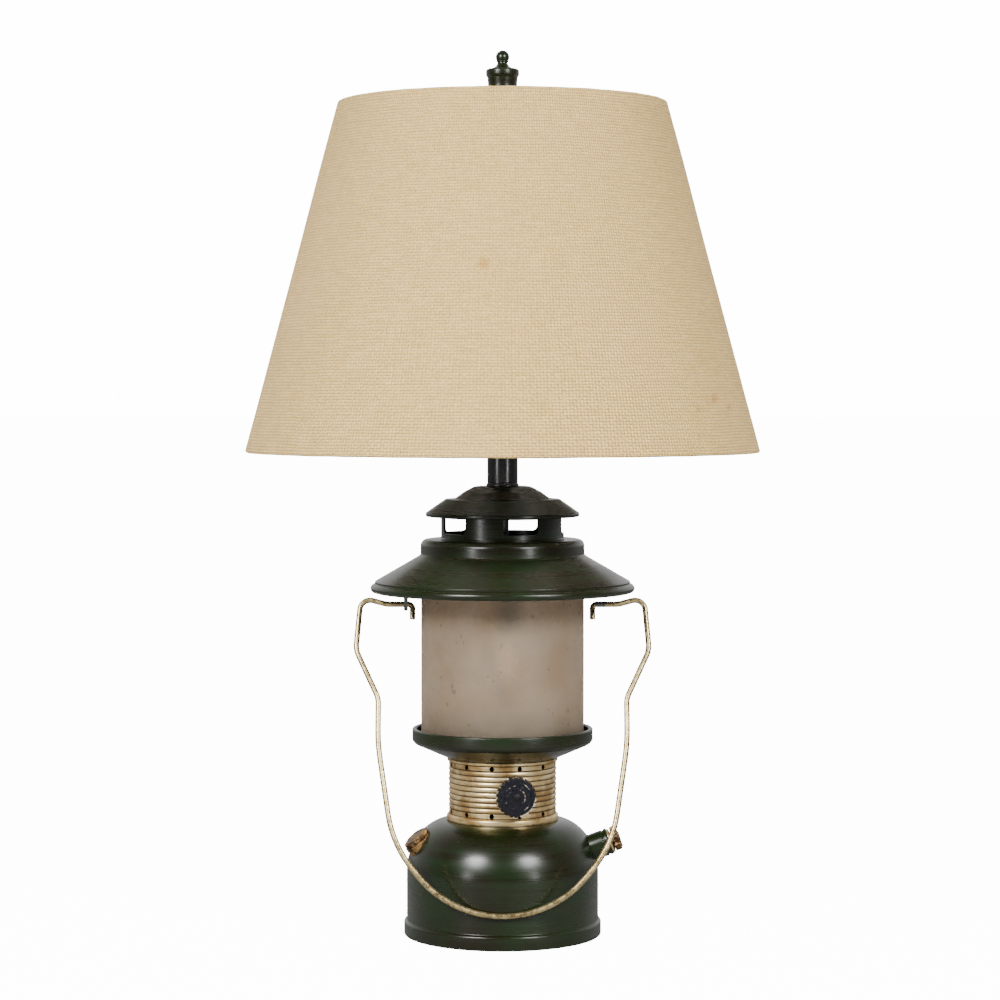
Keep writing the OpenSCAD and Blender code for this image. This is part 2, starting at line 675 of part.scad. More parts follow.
module right_harp_ferrule() harp_ferrule(1);

// ---- Main socket and bulb ----

module socket_cap() color(gold) rotate_extrude() polygon(concat(
    [[rod_hole_r, socket_z], [7, socket_z], [7, socket_z + 4], [socket_r - 3, socket_z + 6.5],
     [socket_r, socket_z + 10], [socket_r, socket_z + cap_cup_h],
     [socket_r - 0.8, socket_z + cap_cup_h], [socket_r - 0.8, socket_z + 10.5],
     [socket_r - 3.4, socket_z + 7.4], [rod_hole_r, socket_z + 4.8]]));

module socket_body() color(black) translate([0, 0, socket_z + 8])
    cylinder(r = socket_r - 3.2, h = body_top_z - socket_z - 8);

module socket_screw_shell() color(gold)
    ring(socket_r - 3.7, socket_r - 3.2, body_top_z, screw_shell_h);

module socket_liner() color("#c9b899")
    ring(socket_r - 2, socket_r - 1, socket_shell_z, socket_shell_h - 1);

module socket_shell() color(gold) rotate_extrude() polygon([
    [socket_r - 0.7, socket_shell_z], [socket_r, socket_shell_z],
    [socket_r, socket_shell_z + socket_shell_h], [socket_r - 2.2, socket_shell_z + socket_shell_h],
    [socket_r - 2.2, socket_shell_z + socket_shell_h - 0.7],
    [socket_r - 0.7, socket_shell_z + socket_shell_h - 0.7]]);

module bulb_base() color(steel) rotate_extrude() polygon([[0, body_top_z + 1.5],
    [4, body_top_z + 2], [socket_r - 4, body_top_z + 5], [socket_r - 4, bulb_neck_z],
    [socket_r - 4.8, bulb_neck_z], [socket_r - 4.8, body_top_z + 7], [0, body_top_z + 7]]);

function bulb_line(o) = concat(
    [[socket_r - 4 - o, bulb_neck_z], [socket_r - 3.4 - o, bulb_neck_z + 8],
     [socket_r * 0.45 + bulb_r * 0.35 - o, bulb_centre_z - bulb_r * 1.2],
     [bulb_r * 0.74 - o, bulb_centre_z - bulb_r * 0.8]],
    arc([0, bulb_centre_z], bulb_r - o, bulb_r - o, -24, 90, 14));

module bulb_glass() color("#f4f2ec") rotate_extrude()
    polygon(let (outer = bulb_line(0), inner = bulb_line(1))
        concat(outer, [for (i = [len(inner) - 1:-1:0]) inner[i]]));

// ---- Shade ----

function shade_r(z) = shade_bottom_r + (shade_top_r - shade_bottom_r) * (z - shade_z) / shade_h;
function cloth_in_r(z) = shade_r(z) - cloth_t * slant;
function liner_in_r(z) = cloth_in_r(z) - liner_t * slant;

module wire_ring(r, z) translate([0, 0, z]) rotate_extrude() translate([r, 0])
    circle(r = ring_wire_r, $fn = 32);

module shade_spider() color(gold) difference() {
    union() {
        wire_ring(ring_top_r, ring_top_z);
        for (i = [0:arm_count - 1]) rotate([0, 0, 90 + i * 360 / arm_count]) rotate([90, 0, 0])
            bent_wire([[hub_r - 4, arm_z], [ring_top_r, arm_z], [ring_top_r, ring_top_z]],
                [0, 5, 0], arm_r);
        translate([0, 0, hub_z]) cylinder(r = hub_r, h = hub_t);
    }
    translate([0, 0, hub_z - 1]) cylinder(r = stud_r + run_gap, h = hub_t + 2);
}

module shade_bottom_ring() color(gold) wire_ring(ring_bottom_r, ring_bottom_z);

module shade_liner() color("#efe9dc") rotate_extrude()
    polygon(let (z0 = shade_z + hem_t, z1 = shade_top_z - hem_t)
        [[cloth_in_r(z0), z0], [cloth_in_r(z1), z1], [liner_in_r(z1), z1], [liner_in_r(z0), z0]]);

module shade_cover() color(tan_cloth) rotate_extrude()
    polygon(let (z0 = shade_z + hem_t, z1 = shade_top_z - hem_t)
        [[shade_bottom_r, shade_z], [shade_top_r, shade_top_z], [shade_top_r - hem_w, shade_top_z],
         [shade_top_r - hem_w, z1], [cloth_in_r(z1), z1], [cloth_in_r(z0), z0],
         [shade_bottom_r - hem_w, z0], [shade_bottom_r - hem_w, shade_z]]);

// The ball, bead and disc of the finial stand above the shade's rim
module finial() color(green) translate([0, 0, finial_z]) difference() {
    union() {
        rotate_extrude() polygon(concat(
            [[0, 0], [finial_foot_r, 0], [finial_body_r - 0.9, 2], [finial_body_r, 7],
             [finial_body_r - 0.2, finial_disc_z - 8], [finial_body_r + 0.2, finial_disc_z - 2.5],
             [finial_disc_r, finial_disc_z], [finial_disc_r, finial_disc_z + 3],
             [finial_disc_r - 1.1, finial_disc_z + 4.2]],
            arc([finial_waist_r + 7.5, finial_disc_z + 9.5], 7.5, 5, -105, -170, 6),
            [[finial_bead_r, finial_ball_z - 3.6], [finial_bead_r, finial_ball_z - 2.8],
             [finial_bead_r - 0.6, finial_ball_z - 2], [0, finial_ball_z - 2]]));
        translate([0, 0, finial_ball_z]) sphere(r = finial_ball_r);
    }
    translate([0, 0, -1]) cylinder(r = stud_r + run_gap, h = stud_h - hub_t + 1);
}

felt_pad();
base_plate();
ballast_weight();
base_washer();
base_nut();
center_rod();
tank_shell();
cord_bushing();
filler_neck();
filler_cap();
pump_boss();
pump_gland();
pump_shaft();
pump_knob();
burner_collar();
switch_body();
switch_bushing();
switch_nut();
switch_shaft();
control_knob();
knob_rivet();
globe_tray();
globe_gasket();
glass_globe();
top_gasket();
globe_seat();
hood();
left_bail_ear();
right_bail_ear();
ear_rivets();
bail_handle();
night_light_bracket();
night_light_socket();
night_light_bulb();
vent_drum();
vent_cap();
neck_foot();
neck_tube();
harp_saddle();
harp();
left_harp_ferrule();
right_harp_ferrule();
socket_cap();
socket_body();
socket_screw_shell();
socket_liner();
socket_shell();
bulb_base();
bulb_glass();
shade_spider();
shade_bottom_ring();
shade_liner();
shade_cover();
finial();
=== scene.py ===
"""Detailed pieces and finishes for a table lamp in the form of a camp lantern."""

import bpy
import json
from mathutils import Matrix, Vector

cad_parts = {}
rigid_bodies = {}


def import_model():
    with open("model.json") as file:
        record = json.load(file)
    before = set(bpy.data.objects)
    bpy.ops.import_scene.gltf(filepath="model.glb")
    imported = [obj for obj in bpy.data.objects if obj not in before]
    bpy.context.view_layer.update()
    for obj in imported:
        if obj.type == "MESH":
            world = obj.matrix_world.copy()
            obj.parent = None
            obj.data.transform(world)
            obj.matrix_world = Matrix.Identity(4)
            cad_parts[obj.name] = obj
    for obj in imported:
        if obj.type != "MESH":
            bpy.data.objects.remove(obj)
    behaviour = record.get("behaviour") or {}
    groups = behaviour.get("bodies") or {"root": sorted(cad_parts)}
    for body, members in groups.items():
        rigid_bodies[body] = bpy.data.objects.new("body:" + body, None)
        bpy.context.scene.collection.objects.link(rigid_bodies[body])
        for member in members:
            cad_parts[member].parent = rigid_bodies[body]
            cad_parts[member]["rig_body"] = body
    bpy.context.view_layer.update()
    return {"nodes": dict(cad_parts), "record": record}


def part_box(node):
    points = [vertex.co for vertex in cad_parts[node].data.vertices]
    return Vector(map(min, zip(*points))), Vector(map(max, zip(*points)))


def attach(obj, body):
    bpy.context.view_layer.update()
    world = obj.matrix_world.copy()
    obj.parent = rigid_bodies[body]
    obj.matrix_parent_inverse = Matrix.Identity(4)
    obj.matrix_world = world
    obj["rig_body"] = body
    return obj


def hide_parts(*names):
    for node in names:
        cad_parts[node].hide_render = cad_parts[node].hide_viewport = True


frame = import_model()
BOXES = {node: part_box(node) for node in frame["nodes"]}

import json
from math import asin, atan2, ceil, cos, hypot, pi, radians, sin, tan, tau

import bmesh
import bpy
from bpy.props import FloatProperty, FloatVectorProperty, IntProperty, PointerProperty
from mathutils import Matrix, Vector, noise

bl_info = {
    "name": "Camp Lantern Table Lamp",
    "version": (1, 0, 0),
    "blender": (4, 5, 0),
    "location": "View3D > Sidebar > Lamp",
    "description": "Builds the lamp's pieces, finishes and stage round its frame",
    "category": "Object",
}

MM = 0.001
BACKDROP = 14.0
SHEET = 1.2 * MM
ROD_HOLE = 5.1 * MM
STUD_HOLE = 3.18 * MM
MERGE = 1e-7
KNOB_AZIMUTH = radians(11)


def low(node):
    """Lowest corner of a frame node."""
    return Vector(BOXES[node][0])


def high(node):
    """Highest corner of a frame node."""
    return Vector(BOXES[node][1])


def collar_rim():
    """Radius of the collar's ribs, inside its rolled foot."""
    return high("burner_collar").x - 1.6 * MM


def tank_rim():
    """Radius of the tank's wall above its foot."""
    return high("tank_shell").x - sizes().foot_out


def centre_of(node):
    """Centre of a frame node."""
    return (low(node) + high(node)) / 2


def pivot_height():
    """Height of the bail's pivot."""
    return low("hood").z - 10 * MM


# ---- Sizes and colours that a user would change ----


def length(name, default, about):
    return FloatProperty(name=name, default=default, unit="LENGTH", subtype="DISTANCE", description=about)


def colour(name, default, about):
    return FloatVectorProperty(
        name=name, default=default, size=3, min=0, max=1, subtype="COLOR", description=about
    )


class LampSizes(bpy.types.PropertyGroup):
    """Sizes of the detailed pieces. Those of the frame are its own."""

    foot_out: length("Foot flare", 2.2 * MM, "How far the rolled foot stands out from the tank")
    foot_height: length("Foot height", 12 * MM, "Height of the rolled foot")
    wall_height: length("Wall height", 50 * MM, "Where the tank's wall turns into the dome")
    ridges: IntProperty(name="Ridges", default=8, min=5, max=10, description="Ridges round the collar")
    groove: length("Groove depth", 1.1 * MM, "Depth of the collar's grooves")
    air_holes: IntProperty(name="Air holes", default=12, min=8, max=16, description="Holes in each row")
    air_hole_radius: length("Air hole radius", 1.9 * MM, "Radius of an air hole")
    windows: IntProperty(name="Vent windows", default=5, min=3, max=6, description="Windows in the drum")
    knob_notches: IntProperty(name="Knob notches", default=22, min=12, max=28, description="Edge notches")
    bail_reach: length("Bail reach", 246.9 * MM, "From the bail's pivot to its lowest point")
    bail_wire: length("Bail wire", 2.25 * MM, "Radius of the bail's wire")
    harp_wire: length("Harp wire", 2 * MM, "Radius of the harp's wire")
    ring_wire: length("Ring wire", 1.6 * MM, "Radius of the shade's ring wires")
    yarn: length("Yarn pitch", 2.3 * MM, "Distance from yarn to yarn in the shade's cloth")
    hem: length("Hem", 6 * MM, "Width of the cloth turned in at each rim of the shade")


class LampColours(bpy.types.PropertyGroup):
    """Main colours of the finishes."""

    enamel: colour("Enamel", (0.0052, 0.0130, 0.0022), "Green of the enamelled sheet metal")
    glaze: colour("Glaze", (0.0070, 0.0052, 0.0013), "Brown antique glaze over the enamel")
    gilt: colour("Gilt", (0.60, 0.41, 0.15), "Aged gold of the collar and small brass parts")
    wire: colour("Wire", (0.52, 0.41, 0.20), "Pale antique brass of the bail")
    grime: colour("Grime", (0.040, 0.022, 0.008), "Dark wash in grooves and corners")
    knob: colour("Knob", (0.0040, 0.0040, 0.0070), "Black paint of the control knob")
    burlap: colour("Burlap", (0.92, 0.625, 0.205), "Natural tan of the shade's cloth")
    smoke: colour("Smoke", (0.59, 0.455, 0.315), "Warm grey of the frosted globe")


# ---- Outlines ----


def arc(centre, rx, ry, start, end, steps):
    """Points of a circular or elliptical arc, angles in degrees."""
    turn = [radians(start + (end - start) * i / steps) for i in range(steps + 1)]
    return [(centre[0] + rx * cos(a), centre[1] + ry * sin(a)) for a in turn]


def rounded(corners, closed=False, step=radians(10)):
    """An outline from (x, y) or (x, y, bend radius) corners, with the bends drawn as arcs."""
    points = []
    count = len(corners)
    for i, corner in enumerate(corners):
        here = Vector(corner[:2])
        bend = corner[2] if len(corner) > 2 else 0
        if not bend or (not closed and i in (0, count - 1)):
            points.append(tuple(here))
            continue
        a = (here - Vector(corners[i - 1][:2])).normalized()
        b = (Vector(corners[(i + 1) % count][:2]) - here).normalized()
        turn = atan2(a.x * b.y - a.y * b.x, a.dot(b))
        side = 1 if turn > 0 else -1
        tangent = bend * tan(abs(turn) / 2)
        centre = here - a * tangent + Vector((-a.y, a.x)) * bend * side
        start = atan2(a.y, a.x) - pi / 2 * side
        steps = max(2, ceil(abs(turn) / step))
        for k in range(steps + 1):
            t = start + turn * k / steps
            points.append((centre.x + bend * cos(t), centre.y + bend * sin(t)))
    return points


def near(r, z, *corners):
    """Corners given in millimetres from the point (r, z), for an outline in metres."""
    return [(r + c[0] * MM, z + c[1] * MM, *(bend * MM for bend in c[2:])) for c in corners]


# ---- Mesh work ----


def turned(name, slot, nodes, corners, steps, **settings):
    """Makes one piece by turning a closed (r, z) outline with rounded corners."""
    bm = bmesh.new()
    spin(bm, rounded(corners, closed=True), steps=steps, **settings)
    return settle(bm, name, slot, nodes)


def linked(name, data):
    """A new object in the scene, at its origin."""
    obj = bpy.data.objects.new(name, data)
    bpy.context.scene.collection.objects.link(obj)
    return obj


def only(kind, geom):
    """The vertices, or the edges, among what an operation made."""
    return [g for g in geom if isinstance(g, kind)]


def face_out(bm, verts):
    """Turns the faces round these vertices outward."""
    bmesh.ops.recalc_face_normals(bm, faces=list({f for v in verts for f in v.link_faces}))


def raised(bm, face, way):
    """Pulls a face out along a way, and gives the moved vertices."""
    tops = only(bmesh.types.BMVert, bmesh.ops.extrude_face_region(bm, geom=[face])["geom"])
    bmesh.ops.translate(bm, verts=tops, vec=way)
    return tops


def grown(bm, edges):
    """Grows a strip of faces from a loop of edges, and gives its new vertices and edges."""
    out = bmesh.ops.extrude_edge_only(bm, edges=edges)["geom"]
    return only(bmesh.types.BMVert, out), only(bmesh.types.BMEdge, out)


def spin(bm, outline, closed=True, steps=144, matrix=None):
    """Turns an (r, z) outline into a closed solid of revolution."""
    before = set(bm.verts)
    verts = [bm.verts.new((r, 0, z)) for r, z in outline]
    pairs = list(zip(verts, verts[1:])) + ([(verts[-1], verts[0])] if closed else [])
    edges = [bm.edges.new(pair) for pair in pairs]
    bmesh.ops.spin(
        bm, geom=verts + edges, cent=(0, 0, 0), axis=(0, 0, 1), angle=tau, steps=steps,
        use_merge=True, use_duplicate=False,
    )
    made = [v for v in bm.verts if v not in before]
    bmesh.ops.remove_doubles(bm, verts=made, dist=MERGE)
    made = [v for v in bm.verts if v not in before]
    face_out(bm, made)
    if matrix is not None:
        bmesh.ops.transform(bm, matrix=matrix, verts=made)


def sweep(bm, path, radius, sides=20, matrix=None):
    """Runs a round wire along a path of 3D points, with closed ends."""
    points = [Vector(p) for p in path]
    ways = [(b - a).normalized() for a, b in zip(points, points[1:])]
    ways = [ways[0]] + [(a + b).normalized() for a, b in zip(ways, ways[1:])] + [ways[-1]]
    turn = ways[0].to_track_quat("Z", "Y")
    places = []
    for i, (point, way) in enumerate(zip(points, ways)):
        if i:
            turn = ways[i - 1].rotation_difference(way) @ turn
        places.append(Matrix.Translation(point) @ turn.to_matrix().to_4x4())
    before = set(bm.verts)
    start = bmesh.ops.create_circle(bm, cap_ends=True, segments=sides, radius=radius, matrix=places[0])
    edges = list({e for v in start["verts"] for e in v.link_edges})
    for here, there in zip(places, places[1:]):
        verts, edges = grown(bm, edges)
        bmesh.ops.transform(bm, matrix=there @ here.inverted(), verts=verts)
    bmesh.ops.edgeloop_fill(bm, edges=edges)
    made = [v for v in bm.verts if v not in before]
    face_out(bm, made)
    if matrix is not None:
        bmesh.ops.transform(bm, matrix=matrix, verts=made)


def wire_ring(bm, radius, z, wire, steps=160):
    """A closed ring of round wire about the lamp's axis."""
    spin(bm, arc((radius, z), wire, wire, 0, 345, 23), steps=steps)


def drum(bm, matrix, radius, depth, sides=48, shape=None):
    """A disc or cylinder along the matrix's Z axis. shape gives the rim's radius at an angle."""
    made = bmesh.ops.create_circle(bm, cap_ends=True, segments=sides, radius=radius)["verts"]
    if shape:
        for v in made:
            v.co = v.co * (shape(atan2(v.co.y, v.co.x)) / radius)
    verts = made + raised(bm, made[0].link_faces[0], (0, 0, depth))
    rims = [e for v in verts for e in v.link_edges if abs(e.verts[0].co.z - e.verts[1].co.z) < 1e-9]
    rims = list(dict.fromkeys(rims))
    face_out(bm, verts)
    bmesh.ops.transform(bm, matrix=matrix, verts=verts)
    return rims


def soften(bm, edges, width, segments=3):
    """Bevels the edges of a rim."""
    bmesh.ops.bevel(
        bm, geom=edges, offset=width, affect="EDGES", segments=segments, profile=0.5, material=-1,
    )


def outward(azimuth, radius, z, tilt=0.0):
    """A place whose Z axis points out from the lamp, azimuth counted from the front toward +X."""
    return (
        Matrix.Rotation(azimuth, 4, "Z")
        @ Matrix.Translation((0, -radius, z))
        @ Matrix.Rotation(pi / 2 - tilt, 4, "X")
    )


def carved(bm, cutter):
    """The first mesh with the second cut away."""
    objects = []
    for name, source in (("body", bm), ("cutter", cutter)):
        mesh = bpy.data.meshes.new(name)
        source.to_mesh(mesh)
        source.free()
        objects.append(linked(name, mesh))
    cut = objects[0].modifiers.new("cut", "BOOLEAN")
    cut.object, cut.operation, cut.solver = objects[1], "DIFFERENCE", "EXACT"
    shaped = objects[0].evaluated_get(bpy.context.evaluated_depsgraph_get())
    out = bmesh.new()
    out.from_mesh(shaped.to_mesh())
    for obj in objects:
        mesh = obj.data
        bpy.data.objects.remove(obj)
        bpy.data.meshes.remove(mesh)
    bmesh.ops.remove_doubles(out, verts=out.verts, dist=2e-6)
    bmesh.ops.dissolve_degenerate(out, edges=out.edges, dist=MERGE)
    return out


def settle(bm, name, slot, *nodes, sharp=38):
    """Makes the finished piece, which stands for the nodes and rides with the first one's body."""
    mesh = bpy.data.meshes.new(name)
    bm.to_mesh(mesh)
    bm.free()
    mesh.shade_smooth()
    mesh.set_sharp_from_angle(angle=radians(sharp))
    obj = linked(name, mesh)
    mesh.materials.append(finish(slot))
    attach(obj, frame["nodes"][nodes[0]]["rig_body"])
    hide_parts(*nodes)
    return obj


# ---- Finishes ----


class Nodes:
    """Short calls for building the nodes of a material or a world."""

    def __init__(self, owner, shader):
        owner.use_nodes = True
        self.tree = owner.node_tree
        self.shader = self.tree.nodes[shader]

    def node(self, kind, inputs=None, **settings):
        made = self.tree.nodes.new("ShaderNode" + kind)
        for key, value in settings.items():
            setattr(made, key, value)
        for key, value in (inputs or {}).items():
            if isinstance(value, bpy.types.NodeSocket):
                self.tree.links.new(value, made.inputs[key])
            else:
                made.inputs[key].default_value = value
        return made

    def set(self, **inputs):
        for key, value in inputs.items():
            socket = self.shader.inputs[key.replace("_", " ")]
            if isinstance(value, bpy.types.NodeSocket):
                self.tree.links.new(value, socket)
            elif socket.type == "RGBA":
                socket.default_value = (*value, 1)
            else:
                socket.default_value = value

    def math(self, operation, *values):
        return self.node("Math", dict(enumerate(values)), operation=operation).outputs[0]

    def plus(self, *values):
        return self.math("ADD", *values)

    def times(self, *values):
        return self.math("MULTIPLY", *values)

    def span(self, value, low_in, high_in, low_out=0.0, high_out=1.0, **settings):
        inputs = {0: value, 1: low_in, 2: high_in, 3: low_out, 4: high_out}
        return self.node("MapRange", inputs, **settings).outputs[0]


class Finish(Nodes):
    """One material's nodes round a Principled shader."""

    def __init__(self, name):
        self.material = bpy.data.materials.new(name)
        super().__init__(self.material, "Principled BSDF")
        self.place = self.node("TexCoord").outputs["Object"]

    def stretched(self, scale, source=None):
        return self.node("Mapping", {"Vector": source or self.place, "Scale": scale}).outputs[0]

    def noise(self, scale, detail=3.0, roughness=0.5, source=None):
        inputs = {"Vector": source or self.place, "Scale": scale, "Detail": detail, "Roughness": roughness}
        return self.node("TexNoise", inputs).outputs[0]

    def span(self, *values):
        return super().span(*values, interpolation_type="SMOOTHSTEP")

    def rough(self, value, least, most):
        """Roughness that follows a noise."""
        self.set(Roughness=self.span(value, 0.3, 0.7, least, most))

    def mix(self, amount, a, b, blend="MIX"):
        made = self.node("Mix", {0: amount}, data_type="RGBA", blend_type=blend)
        for index, value in ((6, a), (7, b)):
            if isinstance(value, bpy.types.NodeSocket):
                self.tree.links.new(value, made.inputs[index])
            else:
                made.inputs[index].default_value = (*tuple(value)[:3], 1)
        return made.outputs[2]

    def bump(self, height, distance, strength=1.0):
        made = self.node("Bump", {"Height": height, "Distance": distance, "Strength": strength})
        self.set(Normal=made.outputs[0])

    def radius(self):
        """Distance from the lamp's axis."""
        parts = self.node("SeparateXYZ", {0: self.place}).outputs
        square = self.plus(self.times(parts[0], parts[0]), self.times(parts[1], parts[1]))
        return self.math("SQRT", square)


def colours():
    """The colours a user has set."""
    return bpy.context.scene.lamp_colours


def sizes():
    """The sizes a user has set."""
    return bpy.context.scene.lamp_sizes


def green_enamel(f):
    """Gloss enamel, rubbed with a brown glaze that gathers in turned streaks and patches."""
    streaks = f.noise(1.0, 4, 0.5, f.stretched((7, 7, 240)))
    patches = f.noise(26, 4, 0.55)
    cloud = f.noise(9, 2)
    tone = f.span(f.plus(f.times(streaks, 0.42), f.times(patches, 0.62)), 0.36, 0.68)
    base = f.mix(tone, tuple(colours().glaze), tuple(colours().enamel))
    base = f.mix(f.span(cloud, 0.52, 0.75, 0, 0.5), base, (0.012, 0.023, 0.008))
    specks = f.span(f.noise(420, 2, 0.6), 0.70, 0.76, 0, 0.8)
    base = f.mix(specks, base, (0.004, 0.003, 0.002))
    rough = f.span(streaks, 0.3, 0.7, 0.25, 0.31)
    f.set(Base_Color=base, Roughness=rough)
    f.set(Specular_IOR_Level=0.34, Coat_Weight=0.04, Coat_Roughness=0.15)
    f.bump(f.plus(f.times(streaks, 0.5), f.noise(500, 2)), 0.00003, 0.3)


def aged_brass(f):
    """Gilt metal with a dark wash left in the grooves, by distance from the collar's axis."""
    rim = collar_rim()
    raised = f.span(f.radius(), rim - 0.75 * sizes().groove, rim - 0.02 * MM)
    streaks = f.noise(1.0, 4, 0.6, f.stretched((60, 60, 900)))
    stain = f.noise(55, 4, 0.6)
    wash = f.span(stain, 0.42, 0.64, 0, 0.85)
    bright = f.mix(f.span(streaks, 0.35, 0.7), tuple(colours().gilt), (0.84, 0.70, 0.42))
    worn = f.mix(wash, bright, (0.30, 0.165, 0.055))
    near = f.span(f.radius(), rim + 6 * MM, rim + 7 * MM, 0, 1)
    depth = f.math("MAXIMUM", raised, near)
    f.set(Base_Color=f.mix(depth, tuple(colours().grime), worn))
    f.set(Metallic=f.span(depth, 0, 1, 0.2, 0.85), Roughness=f.span(stain, 0.3, 0.7, 0.30, 0.46))
    f.bump(f.noise(1400, 3, 0.6), 0.00005, 0.6)


def worn_black(f):
    """Black paint over pale metal, rubbed through along the rim and on the raised arcs, the rub heaviest on
    one side of the rim as a painted highlight.
    """
    edge = f.node("Attribute", attribute_name="edge").outputs["Fac"]
    patch = f.noise(210, 4, 0.65)
    # The pale rub is worn-through paint on the rim and raised arcs, and also a painted highlight where the
    # knob weights it to one side.
    rubbed = f.span(f.plus(edge, f.times(patch, 0.9)), 1.22, 1.36)
    scuffs = f.span(f.noise(420, 3, 0.7), 0.62, 0.72, 0, 0.30)
    base = f.mix(scuffs, tuple(colours().knob), (0.10, 0.10, 0.11))
    f.set(Base_Color=f.mix(rubbed, base, (0.50, 0.43, 0.33)))
    f.set(Roughness=f.span(patch, 0.3, 0.7, 0.24, 0.40), Specular_IOR_Level=0.22)
    f.bump(f.math("SUBTRACT", f.noise(600, 3), f.times(rubbed, 0.6)), 0.00012, 0.6)


def antique_wire(f):
    """Pale brass wire with a brown wash caught in its drawn surface."""
    grain = f.noise(260, 4, 0.65)
    wash = f.span(f.noise(90, 3, 0.6), 0.38, 0.62, 0.15, 0.70)
    base = f.mix(f.span(grain, 0.42, 0.62), (0.13, 0.075, 0.028), tuple(colours().wire))
    f.set(Base_Color=f.mix(wash, tuple(colours().wire), base))
    f.set(Metallic=0.9, Roughness=f.span(grain, 0.3, 0.7, 0.22, 0.40))
    f.bump(grain, 0.00016, 0.7)


def aged_bronze(f):
    """Brown bronze with bright rubbed spots."""
    patch = f.noise(160, 4, 0.6)
    base = f.mix(f.span(patch, 0.40, 0.66), (0.050, 0.022, 0.007), (0.34, 0.20, 0.075))
    blacked = f.node("Attribute", attribute_name="edge").outputs["Fac"]
    base = f.mix(f.times(blacked, 0.98), base, (0.012, 0.011, 0.012))
    f.set(Base_Color=base, Metallic=0.7, Roughness=f.span(patch, 0.3, 0.7, 0.34, 0.55))
    f.bump(f.noise(480, 3), 0.00012, 0.7)


def frosted_glass(f):
    """Frosted glass, smoked a warm grey, with fine dust and a few brown specks."""
    cloud = f.noise(28, 3, 0.5)
    dust = f.noise(900, 2, 0.6)
    base = f.mix(f.span(cloud, 0.3, 0.7), tuple(colours().smoke), (0.66, 0.545, 0.42))
    specks = f.span(f.noise(240, 1, 0.4), 0.70, 0.78, 0, 0.5)
    base = f.mix(specks, base, (0.24, 0.15, 0.08))
    # Darker towards the bottom of the globe, over its lowest 48 mm.
    up = f.node("SeparateXYZ", {0: f.place}).outputs[2]
    floor = low("glass_globe").z
    lower_band = f.span(f.plus(up, f.times(cloud, 0.02)), floor, floor + 48 * MM, 0.75, 0)
    base = f.mix(lower_band, base, (0.28, 0.25, 0.20))
    f.set(Base_Color=base, Roughness=f.span(dust, 0.3, 0.7, 0.36, 0.44))
    f.set(Transmission_Weight=0.82, IOR=1.3, Specular_IOR_Level=0.35)
    f.bump(dust, 0.00003, 0.5)


def burlap(f):
    """Plain-woven jute: round yarns over and under, slubs along them, and a few old stains."""
    uv = f.node("TexCoord").outputs["UV"]
    sway = f.node("TexNoise", {"Vector": uv, "Scale": 22.0, "Detail": 3.0}).outputs["Color"]
    shift = f.node("VectorMath", {0: sway, "Scale": 0.0016}, operation="SCALE").outputs[0]
    placed = f.node("VectorMath", {0: uv, 1: shift}, operation="ADD").outputs[0]
    u, v, _ = f.node("SeparateXYZ", {0: placed}).outputs
    warp = f.math("SINE", f.times(u, pi / sizes().yarn))
    weft = f.math("SINE", f.times(v, pi / sizes().yarn))
    over = f.math("GREATER_THAN", f.times(warp, weft), 0.0)
    across, along = f.math("ABSOLUTE", warp), f.math("ABSOLUTE", weft)
    warp_top = f.times(across, f.math("MULTIPLY_ADD", along, 0.4, 0.6))
    weft_top = f.times(along, f.math("MULTIPLY_ADD", across, 0.4, 0.6))
    height = f.plus(f.times(warp_top, over),
                    f.times(weft_top, f.math("SUBTRACT", 1.0, over)))
    weft_slub = f.noise(1.0, 4, 0.6, f.stretched((60, 430, 1), uv))
    warp_slub = f.noise(1.0, 4, 0.6, f.stretched((430, 60, 1), uv))
    slub = f.plus(f.times(weft_slub, 0.65), f.times(warp_slub, 0.35))
    yarn = tuple(colours().burlap)
    base = f.mix(f.span(slub, 0.38, 0.62), tuple(c * k for c, k in zip(yarn, (0.82, 0.78, 0.70))), yarn)
    base = f.mix(f.span(slub, 0.56, 0.72, 0, 0.35), base, (0.95, 0.74, 0.36))
    gap = f.plus(f.times(f.span(along, 0.0, 0.66, 1.0, 0.0), 0.68),
                 f.times(f.span(across, 0.0, 0.50, 1.0, 0.0), 0.36))
    base = f.mix(gap, base, (0.47, 0.295, 0.10))
    fibres = f.noise(1.0, 3, 0.7, f.stretched((620, 620, 1), uv))
    base = f.mix(f.span(fibres, 0.46, 0.64, 0, 0.62), base, (0.44, 0.285, 0.10))
    flecks = f.span(f.noise(1.0, 2, 0.6, f.stretched((260, 110, 1), uv)), 0.70, 0.78, 0, 0.6)
    base = f.mix(flecks, base, (0.26, 0.155, 0.06))
    age = f.span(f.noise(11, 4, 0.6), 0.46, 0.70, 0, 0.22)
    base = f.mix(age, base, (0.80, 0.48, 0.20))
    ragged = f.math("MULTIPLY_ADD", f.noise(330, 3), 0.008, -0.004)
    flat = f.node("VectorMath", {0: f.place, 1: (1, 0, 1)}, operation="MULTIPLY").outputs[0]
    for x, z, reach in ((-14, 524, 3.4), (159, 425, 2.4), (171, 418, 1.6), (146, 417, 1.3)):
        spot = (x * MM, 0, z * MM)
        away = f.node("VectorMath", {0: flat, 1: spot}, operation="DISTANCE").outputs["Value"]
        stained = f.span(f.plus(away, ragged), reach * MM * 0.7, reach * MM * 1.9, 0.6, 0)
        base = f.mix(stained, base, (0.50, 0.25, 0.06))
    f.set(Base_Color=base, Roughness=0.92, Sheen_Weight=0.12, Sheen_Roughness=0.6)
    f.set(Specular_IOR_Level=0.12)
    f.bump(f.plus(height, f.times(slub, 0.7)), 0.0014, 0.9)


def plain(tones, dark, light, rough, grain, bump, **values):
    """A finish in two tones of one noise, with another noise for its bump."""

    def build(f):
        tone = f.noise(*tones)
        f.set(Base_Color=f.mix(tone, dark, light), **values)
        f.rough(tone, *rough)
        f.bump(f.noise(*grain), *bump)

    return build


